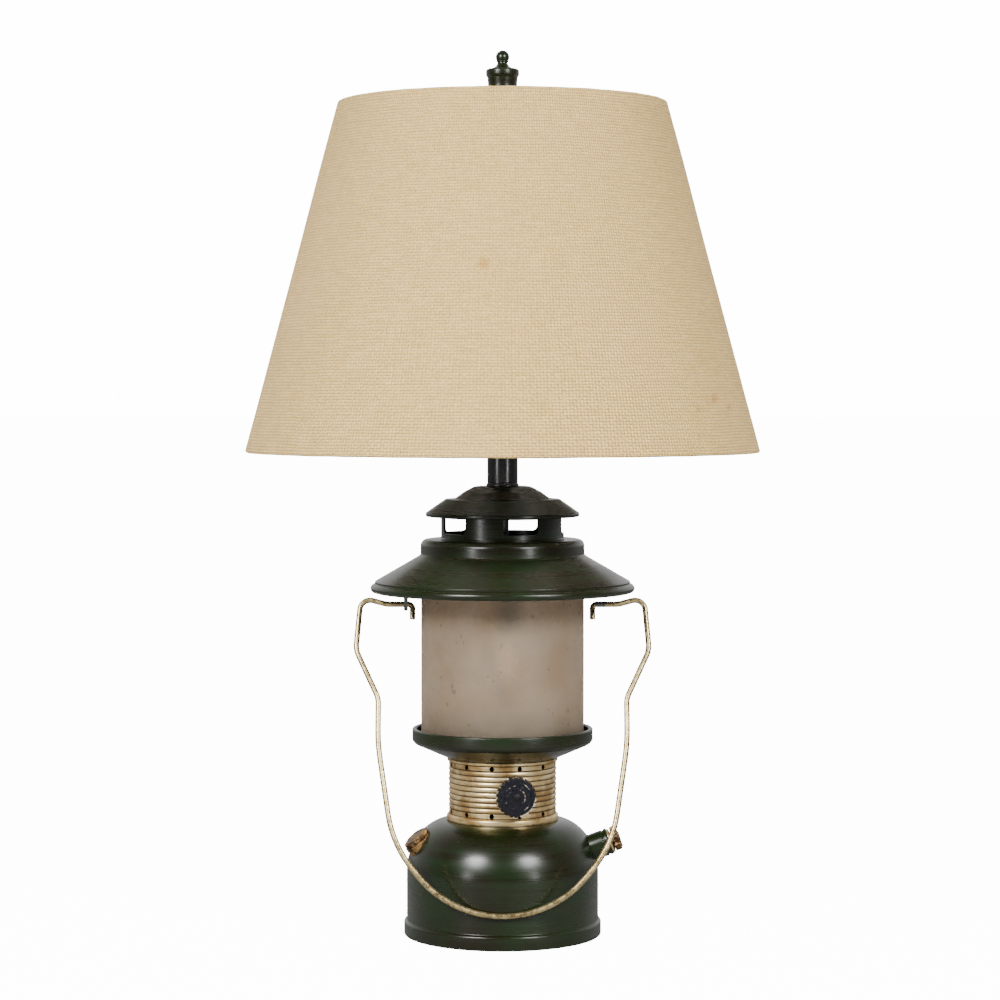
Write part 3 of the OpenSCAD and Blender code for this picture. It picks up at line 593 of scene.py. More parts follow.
def moulded(dark, light, roughness, scale=700, depth=0.00008):
    """A finish for moulded, pressed or painted pieces that vary only a little."""
    return plain((80, 3), dark, light, (roughness - 0.06, roughness + 0.06), (scale, 3, 0.6), (depth, 0.6))


def felt(f):
    """Black felt with short fibres standing out of it."""
    fibres = f.noise(1400, 4, 0.75)
    f.set(Base_Color=f.mix(fibres, (0.006, 0.007, 0.006), (0.026, 0.028, 0.025)))
    f.set(Roughness=0.95, Sheen_Weight=0.35, Sheen_Roughness=0.5)
    f.bump(fibres, 0.0005, 0.9)


FINISHES = {
    "green_enamel": green_enamel,
    "aged_brass": aged_brass,
    "worn_black": worn_black,
    "antique_wire": antique_wire,
    "aged_bronze": aged_bronze,
    "frosted_glass": frosted_glass,
    "burlap": burlap,
    "felt": felt,
    "satin_black": plain(
        (60, 3), (0.008, 0.008, 0.009), (0.018, 0.018, 0.018), (0.20, 0.28), (900, 2), (0.00004, 0.4),
        Specular_IOR_Level=0.6,
    ),
    "brass": plain(
        (90, 3), (0.62, 0.45, 0.19), (0.76, 0.60, 0.32), (0.24, 0.38), (800, 3), (0.00003, 0.5), Metallic=1.0,
    ),
    "zinc_steel": plain(
        (150, 3), (0.10, 0.10, 0.098), (0.17, 0.168, 0.16), (0.30, 0.46), (900, 2), (0.00004, 0.5),
        Metallic=0.9,
    ),
    "nickel": plain(
        (120, 2), (0.66, 0.65, 0.62), (0.78, 0.77, 0.74), (0.16, 0.28), (600, 2), (0.00002, 0.4),
        Metallic=1.0,
    ),
    "cast_iron": plain(
        (420, 4, 0.7), (0.018, 0.018, 0.018), (0.05, 0.045, 0.04), (0.55, 0.75), (420, 4, 0.7), (0.0004, 0.8),
        Metallic=0.4,
    ),
    "bulb_white": plain(
        (300, 2), (0.84, 0.82, 0.77), (0.90, 0.89, 0.85), (0.22, 0.30), (300, 2), (0.00002, 0.3),
        Subsurface_Weight=0.3, Subsurface_Radius=(0.004, 0.004, 0.004), Coat_Weight=0.3,
    ),
    "black_plastic": moulded((0.008, 0.008, 0.008), (0.016, 0.016, 0.016), 0.48),
    "gasket": moulded((0.012, 0.011, 0.010), (0.022, 0.020, 0.018), 0.70),
    "paper_tube": moulded((0.50, 0.42, 0.28), (0.62, 0.53, 0.37), 0.80),
    "shade_liner_sheet": moulded((0.78, 0.74, 0.66), (0.84, 0.80, 0.73), 0.55, 260, 0.00006),
}


BUILT = {}


def finish(slot):
    """The slot's material, built once."""
    if slot not in BUILT:
        f = Finish(slot)
        FINISHES[slot](f)
        BUILT[slot] = f.material
    return BUILT[slot]


# ---- Base and tank ----


class Builder:
    """What the operators share: each builds its pieces from the sizes and is finished."""

    def execute(self, context):
        self.build(context.scene.lamp_sizes)
        return {"FINISHED"}


def dome_place(azimuth, dome_angle, tilt):
    """A place on the dome, given by its ellipse's own angle, all in degrees."""
    rim, neck = tank_rim(), collar_rim()
    rise = low("burner_collar").z - sizes().wall_height
    t = radians(dome_angle)
    radius = neck + (rim - neck) * cos(t)
    return outward(radians(azimuth), radius, sizes().wall_height + rise * sin(t), radians(tilt))


FILLER = (-75, 39.7, 50)
PUMP = (85, 28.7, 21)


class LAMP_OT_tank(Builder, bpy.types.Operator):
    """Make the enamelled tank with its rolled foot, dome, filler well and pump hole"""

    bl_idname = "lamp.tank"
    bl_label = "Tank"

    def build(self, s):
        rim, neck = tank_rim(), collar_rim()
        top, foot = low("burner_collar").z, low("tank_shell").z
        rise = top - s.wall_height
        outer = rounded([
            (rim - SHEET, foot), (rim + s.foot_out, foot, 1.4 * MM),
            (rim + s.foot_out, s.foot_height, 2.1 * MM), (rim, s.foot_height + 0.3 * MM, 0.9 * MM),
            (rim, s.wall_height),
        ])
        outer += arc((neck, s.wall_height), rim - neck, rise, 4, 90, 26)
        inner = arc((neck, s.wall_height), rim - neck - SHEET, rise - SHEET, 90, 0, 14)
        bm = bmesh.new()
        spin(bm, outer + [(ROD_HOLE, top), (ROD_HOLE, top - SHEET)] + inner, steps=160)
        cutter = bmesh.new()
        for spot, radius in ((FILLER, 12 * MM), (PUMP, 10.5 * MM)):
            drum(cutter, dome_place(*spot) @ Matrix.Translation((0, 0, -14 * MM)), radius, 30 * MM, 64)
        drum(cutter, outward(pi, rim - 8 * MM, centre_of("cord_bushing").z), 5.5 * MM, 16 * MM, 48)
        settle(carved(bm, cutter), "tank", "green_enamel", "tank_shell", sharp=32)


class LAMP_OT_base_fittings(Builder, bpy.types.Operator):
    """Make the cord bushing at the back of the tank"""

    bl_idname = "lamp.base_fittings"
    bl_label = "Base fittings"

    def build(self, s):
        rim, cord = tank_rim(), centre_of("cord_bushing")
        inner = rim - low("cord_bushing").y
        bore, waist, lip = 4 * MM, 5.5 * MM, 7 * MM
        outline = rounded([
            (bore, -inner, 0.5 * MM), (waist + 1.1 * MM, -inner, 0.5 * MM),
            *near(waist, 0, (1.1, -2.3, 0.3), (0, -2.3), (0, 0.1)),
            *near(lip, 0, (0, 0.1, 0.3), (0, 1.5, 0.8)), (5.6 * MM, 2.5 * MM, 0.5 * MM),
            (bore, 2.5 * MM, 0.7 * MM),
        ], closed=True)
        bm = bmesh.new()
        spin(bm, outline, steps=64, matrix=outward(pi, rim, cord.z))
        settle(bm, "cord_outlet_bushing", "black_plastic", "cord_bushing")


class LAMP_OT_filler(Builder, bpy.types.Operator):
    """Make the filler neck and its knurled cap on the left of the dome"""

    bl_idname = "lamp.filler"
    bl_label = "Filler neck and cap"

    def build(self, s):
        place = dome_place(*FILLER)
        turned("filler_collar", "aged_bronze", "filler_neck", near(
            0, 0, (9.45, -6), (12, -6), (12, 1.5, 0.5), (9.45, 1.5),
        ), 72, matrix=place)
        cap = bmesh.new()
        rims = drum(cap, Matrix.Translation((0, 0, 1.6 * MM)), 10.7 * MM, 2.9 * MM, 144,
                    lambda a: (10.75 + 0.28 * cos(36 * a)) * MM)
        soften(cap, rims, 0.35 * MM, 2)
        spin(cap, [(0, 4.4 * MM)] + rounded(near(
            0, 0, (9.4, 4.4), (9.4, 5.1, 0.5), (7.2, 5.3, 0.6), (6.6, 4.9, 0.5), (3, 5.3, 1.5), (0, 5.5),
        )), closed=False, steps=72)
        spin(cap, [(0, -3 * MM), (9.3 * MM, -3 * MM), (9.3 * MM, 1.7 * MM), (0, 1.7 * MM)],
             closed=False, steps=48)
        bmesh.ops.transform(cap, matrix=place, verts=cap.verts)
        settle(cap, "filler_cap_knurled", "aged_bronze", "filler_cap")


class LAMP_OT_pump(Builder, bpy.types.Operator):
    """Make the pump boss, its brass gland and the star knob on the right of the dome"""

    bl_idname = "lamp.pump"
    bl_label = "Pump boss and knob"

    def build(self, s):
        place = dome_place(*PUMP) @ Matrix.Translation((0, 0, 4.5 * MM))
        turned("pump_barrel", "green_enamel", "pump_boss", near(
            0, 0, (8.5, -10.5), (10.5, -10.5), (10.5, 5.6, 0.4), (9.7, 6.1, 0.3), (9.7, 7, 0.3),
            (10.5, 7.5, 0.4), (10.5, 10, 0.9), (8.5, 10),
        ), 80, matrix=place)
        turned("pump_gland_nut", "aged_brass", "pump_gland", near(
            0, 0, (2.58, 4), (8.4, 4), (8.4, 10), (9.5, 10, 0.3), (9.5, 11.2, 0.6), (5.2, 12, 0.5),
            (2.58, 12),
        ), 80, matrix=place)
        knob = bmesh.new()
        rims = drum(knob, Matrix.Translation((0, 0, 12.4 * MM)), 10 * MM, 5.4 * MM, 160,
                    lambda a: (8.1 + 2.3 * cos(5 * a - pi / 2) ** 3) * MM)
        soften(knob, rims, 1.1 * MM, 4)
        spin(knob, [(0, 17.6 * MM)] + rounded(near(
            0, 0, (4.4, 17.6), (4.2, 18.2, 0.5), (0, 18.4),
        )), closed=False, steps=48)
        spin(knob, [(0, -4 * MM), (2.5 * MM, -4 * MM), (2.5 * MM, 14 * MM), (0, 14 * MM)],
             closed=False, steps=40)
        bmesh.ops.transform(knob, matrix=place, verts=knob.verts)
        settle(knob, "pump_star_knob", "aged_bronze", "pump_knob", "pump_shaft")


# ---- Collar, knob and tray ----


class LAMP_OT_collar(Builder, bpy.types.Operator):
    """Make the ribbed collar with its two rows of air holes"""

    bl_idname = "lamp.collar"
    bl_label = "Ribbed collar"

    def build(self, s):
        z0, z1 = low("burner_collar").z, high("burner_collar").z
        rim = collar_rim()
        ring, band, lip = 5.4 * MM, 4.2 * MM, 2.6 * MM
        first, last = z0 + ring + band, z1 - lip - band
        pitch = (last - first) / s.ridges
        groove = rim - s.groove
        outline = rounded([
            *near(rim, z0, (-2.2, 0), (1.2, 0, 0.4), (1.6, 1.2, 0.6)),
            *near(rim, z0 + ring, (1.6, -1.5, 1.2), (0, -0.1, 0.5)), (groove, z0 + ring),
            (rim - 0.2 * MM, z0 + ring + 0.5 * MM, 0.4 * MM),
            (rim - 0.2 * MM, first - 0.5 * MM, 0.4 * MM), (groove, first),
        ])
        for i in range(s.ridges):
            middle = first + (i + 0.5) * pitch
            outline += arc((groove, middle), s.groove, pitch * 0.47, -82, 82, 10)
        outline += rounded([
            (groove, last), (rim - 0.2 * MM, last + 0.5 * MM, 0.4 * MM),
            (rim - 0.2 * MM, z1 - lip - 0.5 * MM, 0.4 * MM), (groove, z1 - lip),
            (rim + 1.1 * MM, z1 - lip + 0.4 * MM, 0.4 * MM), *near(rim, z1, (1.1, -0.1, 0.5), (-8.2, 0)),
            *near(rim, z1 - SHEET, (-8.2, 0), (-2.2, 0)),
        ])
        bm = bmesh.new()
        spin(bm, outline, steps=160)
        cutter = bmesh.new()
        for i in range(s.air_holes):
            azimuth = radians(18.5) + i * tau / s.air_holes
            for z in (z0 + ring + band / 2, z1 - lip - band / 2):
                drum(cutter, outward(azimuth, rim - 4.4 * MM, z), s.air_hole_radius, 8 * MM, 20)
        knob_z = centre_of("switch_bushing").z
        drum(cutter, outward(KNOB_AZIMUTH, rim - 4.4 * MM, knob_z), 4.8 * MM, 8 * MM, 32)
        settle(carved(bm, cutter), "ribbed_collar", "aged_brass", "burner_collar", sharp=45)


class LAMP_OT_control_knob(Builder, bpy.types.Operator):
    """Make the notched control knob with its raised arcs and rivet"""

    bl_idname = "lamp.control_knob"
    bl_label = "Control knob"

    def build(self, s):
        box = low("control_knob"), high("control_knob")
        z = (box[0].z + box[1].z) / 2
        rim = (box[1].z - box[0].z) / 2
        back = collar_rim() + 4.2 * MM
        face = 10.6 * MM
        place = outward(KNOB_AZIMUTH, back, z)

        def edge_at(a):
            phase = (a * s.knob_notches / tau) % 1.0
            return rim - 1.25 * MM * max(0.0, 1 - (min(phase, 1 - phase) / 0.26) ** 2)

        bm = bmesh.new()
        verts = bmesh.ops.create_circle(bm, cap_ends=True, segments=s.knob_notches * 14, radius=rim)["verts"]
        edges = list({e for v in verts for e in v.link_edges})
        levels = [(0.7, 5), (0.2, 5.15), (0, 5.6), (0, 10)]
        levels += [(0.06, 10.2), (0.22, 10.4), (0.6, 10.55), (1, 10.6)]
        circles = [(13.4, 10.6), (12.9, 10.6), (8.0, 10.6), (3.2, 10.6)]
        for i, (inward, up) in enumerate(levels + circles):
            if i:
                verts, edges = grown(bm, edges)
            for v in verts:
                a = atan2(v.co.y, v.co.x)
                r = edge_at(a) - inward * MM if i < len(levels) else inward * MM
                v.co = (r * cos(a), r * sin(a), up * MM)
        bmesh.ops.edgeloop_fill(bm, edges=edges)
        spin(bm, rounded(near(
            0, 0, (3, 0), (7.5, 0, 0.5), (7.5, 5.2), (3, 5.2),
        ), closed=True), steps=64)
        for radius, start, span in ((11.6, -70, 150), (9.2, 95, 165), (6.6, -60, 230)):
            before = set(bm.verts)
            turned = Matrix.Rotation(radians(start), 4, "Z") @ Matrix.Translation((radius * MM, 0, face))
            turned = turned @ Matrix.Rotation(pi / 2, 4, "X")
            disc = bmesh.ops.create_circle(bm, cap_ends=True, segments=12, radius=0.46 * MM, matrix=turned)
            geom = disc["verts"] + list({e for v in disc["verts"] for e in v.link_edges})
            geom.append(disc["verts"][0].link_faces[0])
            bmesh.ops.spin(bm, geom=geom, cent=(0, 0, 0), axis=(0, 0, 1), angle=radians(span),
                           steps=int(span / 5), use_duplicate=False)
            made = [v for v in bm.verts if v not in before]
            bmesh.ops.remove_doubles(bm, verts=made, dist=MERGE)
        bmesh.ops.recalc_face_normals(bm, faces=bm.faces)
        layer = bm.verts.layers.float.new("edge")
        # The rim's pale rub is weighted towards the knob's lower right: partly worn paint, partly a painted
        # highlight.
        for v in bm.verts:
            out = hypot(v.co.x, v.co.y) / rim
            highlight_side = 0.5 + 0.5 * (v.co.x * 0.8 - v.co.y * 0.6) / max(hypot(v.co.x, v.co.y), 1e-6)
            raised = 0.74 if v.co.z > face + 0.1 * MM else 0
            v[layer] = min(1.0, max(0.0, (out - 0.86) / 0.06)) * (0.05 + 1.0 * highlight_side**2) + raised
        bmesh.ops.transform(bm, matrix=place, verts=bm.verts)
        settle(bm, "control_knob_disc", "worn_black", "control_knob", sharp=40)
        rivet = bmesh.new()
        spin(rivet, [(0, face - 0.3 * MM)] + rounded(near(
            0, face, (3, -0.3), (3, 0.5, 0.3), (1.9, 0.7, 0.3), (1.5, 1.3, 0.5), (0, 1.3),
        )), closed=False, steps=48, matrix=place)
        layer = rivet.verts.layers.float.new("edge")
        for v in rivet.verts:
            v[layer] = 1.0
        settle(rivet, "control_knob_rivet", "aged_bronze", "knob_rivet")


class LAMP_OT_tray(Builder, bpy.types.Operator):
    """Make the dished tray under the globe, with its rolled rim"""

    bl_idname = "lamp.tray"
    bl_label = "Globe tray"

    def build(self, s):
        z0, z1 = low("globe_tray").z, high("globe_tray").z
        rim = high("globe_tray").x
        floor, slope = high("burner_collar").x - 0.8 * MM, rim - 2 * MM
        bend = z0 + 12 * MM
        turned("globe_gallery", "green_enamel", "globe_tray", [
            (ROD_HOLE, z0), (floor, z0, 2.5 * MM), (slope, bend - 0.6 * MM, 3 * MM),
            (rim, bend + 1.8 * MM, 2 * MM),
            *near(rim, z1, (0, 0, 1.2), (-3.5, 0, 1.2), (-3.5, -2.6, 0.6)), (rim - SHEET, z1 - 2.9 * MM),
            (rim - SHEET, bend + 2.4 * MM, 1 * MM), (slope - 0.4 * MM, bend + 0.9 * MM, 1 * MM),
            (floor, z0 + SHEET, 2 * MM), (ROD_HOLE, z0 + SHEET),
        ], 160)


# ---- Globe, hood and vent ----


class LAMP_OT_globe(Builder, bpy.types.Operator):
    """Make the frosted globe with fire-polished rims"""

    bl_idname = "lamp.globe"
    bl_label = "Glass globe"

    def build(self, s):
        z0, z1, rim = low("glass_globe").z, high("glass_globe").z, high("glass_globe").x
        wall = 2.2 * MM
        turned("frosted_globe", "frosted_glass", "glass_globe", [
            (rim - wall, z0, 1 * MM), (rim, z0, 1 * MM), (rim, z1, 1 * MM), (rim - wall, z1, 1 * MM),
        ], 160)


class LAMP_OT_hood(Builder, bpy.types.Operator):
    """Make the spun hood with its rolled lip and stepped crown"""

    bl_idname = "lamp.hood"
    bl_label = "Hood"

    def build(self, s):
        rim, z0, z1 = high("hood").x, low("hood").z, high("hood").z
        lip = 3.2 * MM
        slope_r, slope_z = rim - 3.5 * MM, z0 + 8.5 * MM
        step_r, step_z = 64.8 * MM, z0 + 28.5 * MM
        hole = high("vent_drum").x - 8.6 * MM
        outline = arc((rim - lip, z0 + lip), lip, lip, -190, 80, 22)
        outline += rounded([
            (slope_r - 0.1 * MM, z0 + 7.2 * MM), (slope_r, slope_z, 0.5 * MM),
            *near(step_r, step_z, (1.4, 0.2, 1.2), (0, 1.6, 0.6)), (step_r, z1, 5 * MM),
            (hole, z1, 0.4 * MM), (hole, z1 - SHEET, 0.4 * MM), (step_r - SHEET, z1 - SHEET, 3.8 * MM),
            (step_r - SHEET, step_z + 0.6 * MM, 1 * MM), (slope_r - 1.6 * MM, slope_z - 0.8 * MM, 1 * MM),
            (slope_r - 2.6 * MM, z0 + 5 * MM),
        ])
        bm = bmesh.new()
        spin(bm, outline, steps=180)
        settle(bm, "lantern_hood", "green_enamel", "hood")


class LAMP_OT_vent(Builder, bpy.types.Operator):
    """Make the windowed vent drum and its stepped cap"""

    bl_idname = "lamp.vent"
    bl_label = "Vent drum and cap"

    def build(self, s):
        rim, z0, z1 = high("vent_drum").x, low("vent_drum").z, high("vent_drum").z
        count = s.windows
        bm = bmesh.new()
        spin(bm, rounded([
            (rim - SHEET, z0), *near(rim, z0, (0.5, 0), (0.5, 0.5, 0.3), (0, 1.1, 0.4)), (rim, z1),
            (rim - SHEET, z1),
        ], closed=True), steps=180)
        half = rim * sin(radians(17.5))
        frame_line = rounded([
            (-half, z0 + 4.8 * MM, 4.4 * MM), (half, z0 + 4.8 * MM, 4.4 * MM), (half, z1 - 1 * MM),
            (-half, z1 - 1 * MM),
        ], closed=True)
        cutter = bmesh.new()
        for i in range(count):
            before = set(cutter.verts)
            verts = [cutter.verts.new((x, z, 0)) for x, z in frame_line]
            raised(cutter, cutter.faces.new(verts), (0, 0, 16 * MM))
            made = [v for v in cutter.verts if v not in before]
            place = outward(radians(18) + i * tau / count, rim - 8 * MM, 0)
            bmesh.ops.transform(cutter, matrix=place, verts=made)
        bmesh.ops.recalc_face_normals(cutter, faces=cutter.faces)
        vent = settle(carved(bm, cutter), "windowed_drum", "green_enamel", "vent_drum", sharp=30)
        round_off = vent.modifiers.new("rolled window edges", "BEVEL")
        round_off.width, round_off.segments, round_off.limit_method = 0.35 * MM, 2, "ANGLE"
        round_off.angle_limit = radians(50)

        brim, c0, c1 = high("vent_cap").x, low("vent_cap").z, high("vent_cap").z
        ledge = brim - 14.2 * MM
        turned("stepped_cap", "green_enamel", "vent_cap", [
            (rim - 2 * MM, c0, 0.3 * MM), *near(brim, c0, (0, 0, 1.2), (0, 3, 1.2), (-6.7, 7.7, 20)),
            *near(ledge, c0, (0.4, 12.6, 2), (-1.2, 13.8, 1)), (38 * MM, c0 + 14.1 * MM, 1.2 * MM),
            *near(0, c1, (30.4, -4.4, 25), (22, 0, 9)), (ROD_HOLE, c1), (ROD_HOLE, c1 - SHEET),
            (21 * MM, c1 - SHEET, 8 * MM), (36.5 * MM, c0 + 13 * MM, 1 * MM),
            (ledge - 1.4 * MM, c0 + 12.6 * MM, 1 * MM), (brim - 1.6 * MM, c0 + 2.4 * MM, 0.5 * MM),
            (brim - 1.6 * MM, c0 + SHEET, 0.3 * MM), (rim - 2 * MM, c0 + SHEET, 0.3 * MM),
        ], 160)


# ---- Bail ----


class LAMP_OT_bail(Builder, bpy.types.Operator):
    """Make the swinging wire bail"""

    bl_idname = "lamp.bail"
    bl_label = "Bail"

    def build(self, s):
        rim = tank_rim()
        ear = low("right_bail_ear").x
        out_x = high("hood").x + 8 * MM
        pivot = pivot_height()
        lean = asin((rim + s.bail_wire + 0.4 * MM) / s.bail_reach)
        low_x, low_s = out_x - 27.5 * MM, s.bail_reach - 54.9 * MM
        slope = radians(50)
        tip = low_s + low_x * tan(slope)
        tip_bend = (tip - s.bail_reach) / (1 / cos(slope) - 1)
        tail = ear - 3.9 * MM
        side = [
            (tail, 12 * MM), (tail, 0, 3.5 * MM), (ear + 16.5 * MM, 0, 20 * MM),
            (out_x - 0.5 * MM, -5.5 * MM, 8 * MM), (out_x + 3 * MM, 37 * MM, 20 * MM),
            (out_x - 15.2 * MM, 76 * MM, 20 * MM), (out_x - 15.2 * MM, 112 * MM, 150 * MM),
            (low_x, low_s, 90 * MM),
        ]
        other = [(-c[0], *c[1:]) for c in reversed(side)]
        line = rounded(side + [(0, tip, tip_bend)] + other, step=radians(4))
        bm = bmesh.new()
        sweep(bm, [(x, -d * sin(lean), pivot - d * cos(lean)) for x, d in line], s.bail_wire, 20)
        settle(bm, "bail_wire", "antique_wire", "bail_handle", sharp=50)


class LAMP_OT_ears(Builder, bpy.types.Operator):
    """Make the two ears that carry the bail"""

    bl_idname = "lamp.ears"
    bl_label = "Bail ears"

    def build(self, s):
        pivot = pivot_height()
        bore = s.bail_wire + 0.08 * MM
        for side, name in ((-1, "left_bail_ear"), (1, "right_bail_ear")):
            lo, hi = low(name), high(name)
            inner = lo.x if side > 0 else hi.x
            half = (hi.y - lo.y) / 2
            plate = rounded([
                (-half, hi.z), (-half, pivot - half * 0.5, 1 * MM), (-half * 0.5, pivot - half, 2 * MM),
                (half * 0.5, pivot - half, 2 * MM), (half, pivot - half * 0.5, 1 * MM), (half, hi.z),
            ])
            bm = bmesh.new()
            face = bm.faces.new([bm.verts.new((0, y, z)) for y, z in plate])
            raised(bm, face, (side * 3 * MM, 0, 0))
            flange = bmesh.ops.create_cube(bm, size=1)["verts"]
            width = hi.x - lo.x - 3 * MM
            bmesh.ops.scale(bm, verts=flange, vec=(width, 2 * half, 1.5 * MM))
            bmesh.ops.translate(
                bm, verts=flange, vec=(side * (3 * MM + width / 2), 0, hi.z - 0.75 * MM)
            )
            bmesh.ops.translate(bm, verts=bm.verts, vec=(inner, 0, 0))
            bmesh.ops.recalc_face_normals(bm, faces=bm.faces)
            cutter = bmesh.new()
            start = Matrix.Translation((inner - side * 2 * MM, 0, pivot))
            drum(cutter, start @ Matrix.Rotation(side * pi / 2, 4, "Y"), bore, 8 * MM, 40)
            settle(carved(bm, cutter), name + "_strap", "zinc_steel", name, sharp=30)


# ---- Stem, socket and harp ----


class LAMP_OT_neck(Builder, bpy.types.Operator):
    """Make the black neck tube and the flared foot under it"""

    bl_idname = "lamp.neck"
    bl_label = "Neck tube"

    def build(self, s):
        rim, z0, z1 = high("neck_tube").x, low("neck_tube").z, high("neck_tube").z
        f0 = low("neck_foot").z
        turned("neck_pipe", "satin_black", "neck_tube", [
            (rim - SHEET, z0), (rim, z0, 0.4 * MM), (rim, z1, 0.4 * MM), (rim - SHEET, z1),
        ], 96)
        turned("neck_flare", "satin_black", "neck_foot", [
            (ROD_HOLE, f0), *near(rim, f0, (0.8, 0, 0.3), (0.8, 1.2, 0.5), (0, 2.4, 0.8)), (rim, z0),
            *near(rim - SHEET, z0, (-0.1, 0), (-0.1, 5)), (ROD_HOLE, z0 + 5 * MM),
        ], 96)


class LAMP_OT_socket(Builder, bpy.types.Operator):
    """Make the lamp socket's beaded cap and shell, and the bulb"""

    bl_idname = "lamp.socket"
    bl_label = "Socket and bulb"

    def build(self, s):
        rim, z0, z1 = high("socket_cap").x, low("socket_cap").z, high("socket_cap").z
        turned("socket_cap_brass", "brass", "socket_cap", [
            (ROD_HOLE, z0), *near(0, z0, (7, 0, 0.5), (7, 4, 1)),
            *near(rim, z0, (-3, 6.5, 3), (0, 10, 3)), (rim, z1, 0.3 * MM), (rim - 0.8 * MM, z1),
            *near(rim, z0, (-0.8, 10.5, 2), (-3.4, 7.4, 2)), (ROD_HOLE, z0 + 4.8 * MM),
        ], 96)
        s0, s1 = low("socket_shell").z, high("socket_shell").z
        turned("socket_shell_brass", "brass", "socket_shell", [
            *near(rim, s0, (-0.7, 0), (0, 0), (0, 3), (-0.5, 3.6, 0.4), (-0.5, 4.4, 0.4), (0, 5, 0.4)),
            *near(rim, s1, (0, 0, 1), (-2.2, 0, 0.3), (-2.2, -0.7, 0.3), (-0.9, -0.9, 0.4)),
            (rim - 0.9 * MM, s0),
        ], 96)
        g0, g1, wide = low("bulb_glass").z, high("bulb_glass").z, high("bulb_glass").x
        neck, centre = rim - 4 * MM, g1 - wide

        def envelope(inset):
            side = [(neck - inset, g0), (neck + 0.5 * MM - inset, g0 + 8 * MM),
                    (wide * 0.78 - inset, centre - wide * 0.76)]
            return rounded([side[0], (*side[1], 30 * MM), side[2]]) + arc(
                (0, centre), wide - inset, wide - inset, -32, 90, 24)

        bulb = bmesh.new()
        spin(bulb, envelope(0) + list(reversed(envelope(1 * MM))), closed=False, steps=96)
        lower = [e for e in bulb.edges if e.is_boundary]
        if lower:
            bmesh.ops.bridge_loops(bulb, edges=lower)
        bmesh.ops.recalc_face_normals(bulb, faces=bulb.faces)
        settle(bulb, "bulb_envelope", "bulb_white", "bulb_glass", sharp=60)


class LAMP_OT_harp(Builder, bpy.types.Operator):
    """Make the harp with its stud, and the two ferrules that lock it"""

    bl_idname = "lamp.harp"
    bl_label = "Harp and ferrules"

    def build(self, s):
        wire = s.harp_wire
        foot_x = high("right_harp_ferrule").x - 3.6 * MM
        z0 = low("harp").z
        stud_top = high("harp").z
        seat = stud_top - 24 * MM
        top = seat - wire - 2.5 * MM
        lean, bend = radians(30), 40 * MM
        bend_z = z0 + 48.7 * MM
        corner = foot_x + (top - bend_z) * tan(lean)
        flat = 4.5 * MM
        big = (corner - flat) / tan((pi / 2 + lean) / 2)
        half = [(foot_x, z0), (foot_x, bend_z, bend), (corner, top, big)]
        line = rounded(half + [(-c[0], *c[1:]) for c in reversed(half)], step=radians(5))
        bm = bmesh.new()
        sweep(bm, [(x, 0, z) for x, z in line], wire, 18)
        spin(bm, [(0, top - 4 * MM)] + rounded([
            *near(0, top, (5.5, -4, 0.8), (5.5, 1), (8, 1.2, 0.6)), *near(0, seat, (8, 0, 0.6), (3.1, 0)),
            (3.1 * MM, stud_top, 0.5 * MM), (0, stud_top),
        ]), closed=False, steps=64)
        settle(bm, "harp_loop", "brass", "harp", sharp=45)
        for side, name in ((-1, "left_harp_ferrule"), (1, "right_harp_ferrule")):
            f0, f1 = low(name).z, high(name).z
            sleeve = bmesh.new()
            inner, outer = wire + 0.08 * MM, wire + 1.6 * MM
            spin(sleeve, rounded([
                (inner, f0), *near(outer, f0, (0, 0, 0.5), (0, 3, 0.4), (-0.5, 3.8, 0.4)),
                (outer - 0.5 * MM, f1, 0.5 * MM), (inner, f1),
            ], closed=True), steps=48, matrix=Matrix.Translation((side * foot_x, 0, 0)))
            settle(sleeve, name + "_sleeve", "brass", name)


# ---- Shade ----


def shade_line(inset=0.0, z=None):
    """Radius of the shade's slope at height z, inset along the radius."""
    z0, z1 = low("shade_cover").z, high("shade_cover").z
    wide = high("shade_cover").x
    narrow = high("shade_spider").x + 1.5 * MM
    return wide + (narrow - wide) * (z - z0) / (z1 - z0) - inset


class LAMP_OT_shade_wires(Builder, bpy.types.Operator):
    """Make the shade's spider and its two ring wires"""

    bl_idname = "lamp.shade_wires"
    bl_label = "Shade wires"

    def build(self, s):
        wire = s.ring_wire
        top_r = high("shade_spider").x - wire
        top_z = high("shade_spider").z - wire
        hub_z = low("shade_spider").z
        hub, hub_r, arm = 3 * MM, 10 * MM, 1.3 * MM
        bm = bmesh.new()
        wire_ring(bm, top_r, top_z, wire)
        for i in range(3):
            way = radians(90) + i * tau / 3
            arm_z = hub_z + hub / 2
            line = rounded([(hub_r - 4 * MM, arm_z), (top_r, arm_z, 5 * MM), (top_r, top_z)])
            sweep(bm, [(r * cos(way), r * sin(way), z) for r, z in line], arm, 14)
        spin(bm, rounded([
            (STUD_HOLE, hub_z, 0.3 * MM), (hub_r, hub_z, 0.7 * MM), (hub_r, hub_z + hub, 0.7 * MM),
            (STUD_HOLE, hub_z + hub, 0.3 * MM),
        ], closed=True), steps=64)
        settle(bm, "shade_spider_wires", "brass", "shade_spider", sharp=50)
        low_ring = bmesh.new()
        wire_ring(low_ring, high("shade_bottom_ring").x - wire, low("shade_bottom_ring").z + wire, wire, 220)
        settle(low_ring, "shade_lower_ring", "brass", "shade_bottom_ring", sharp=50)


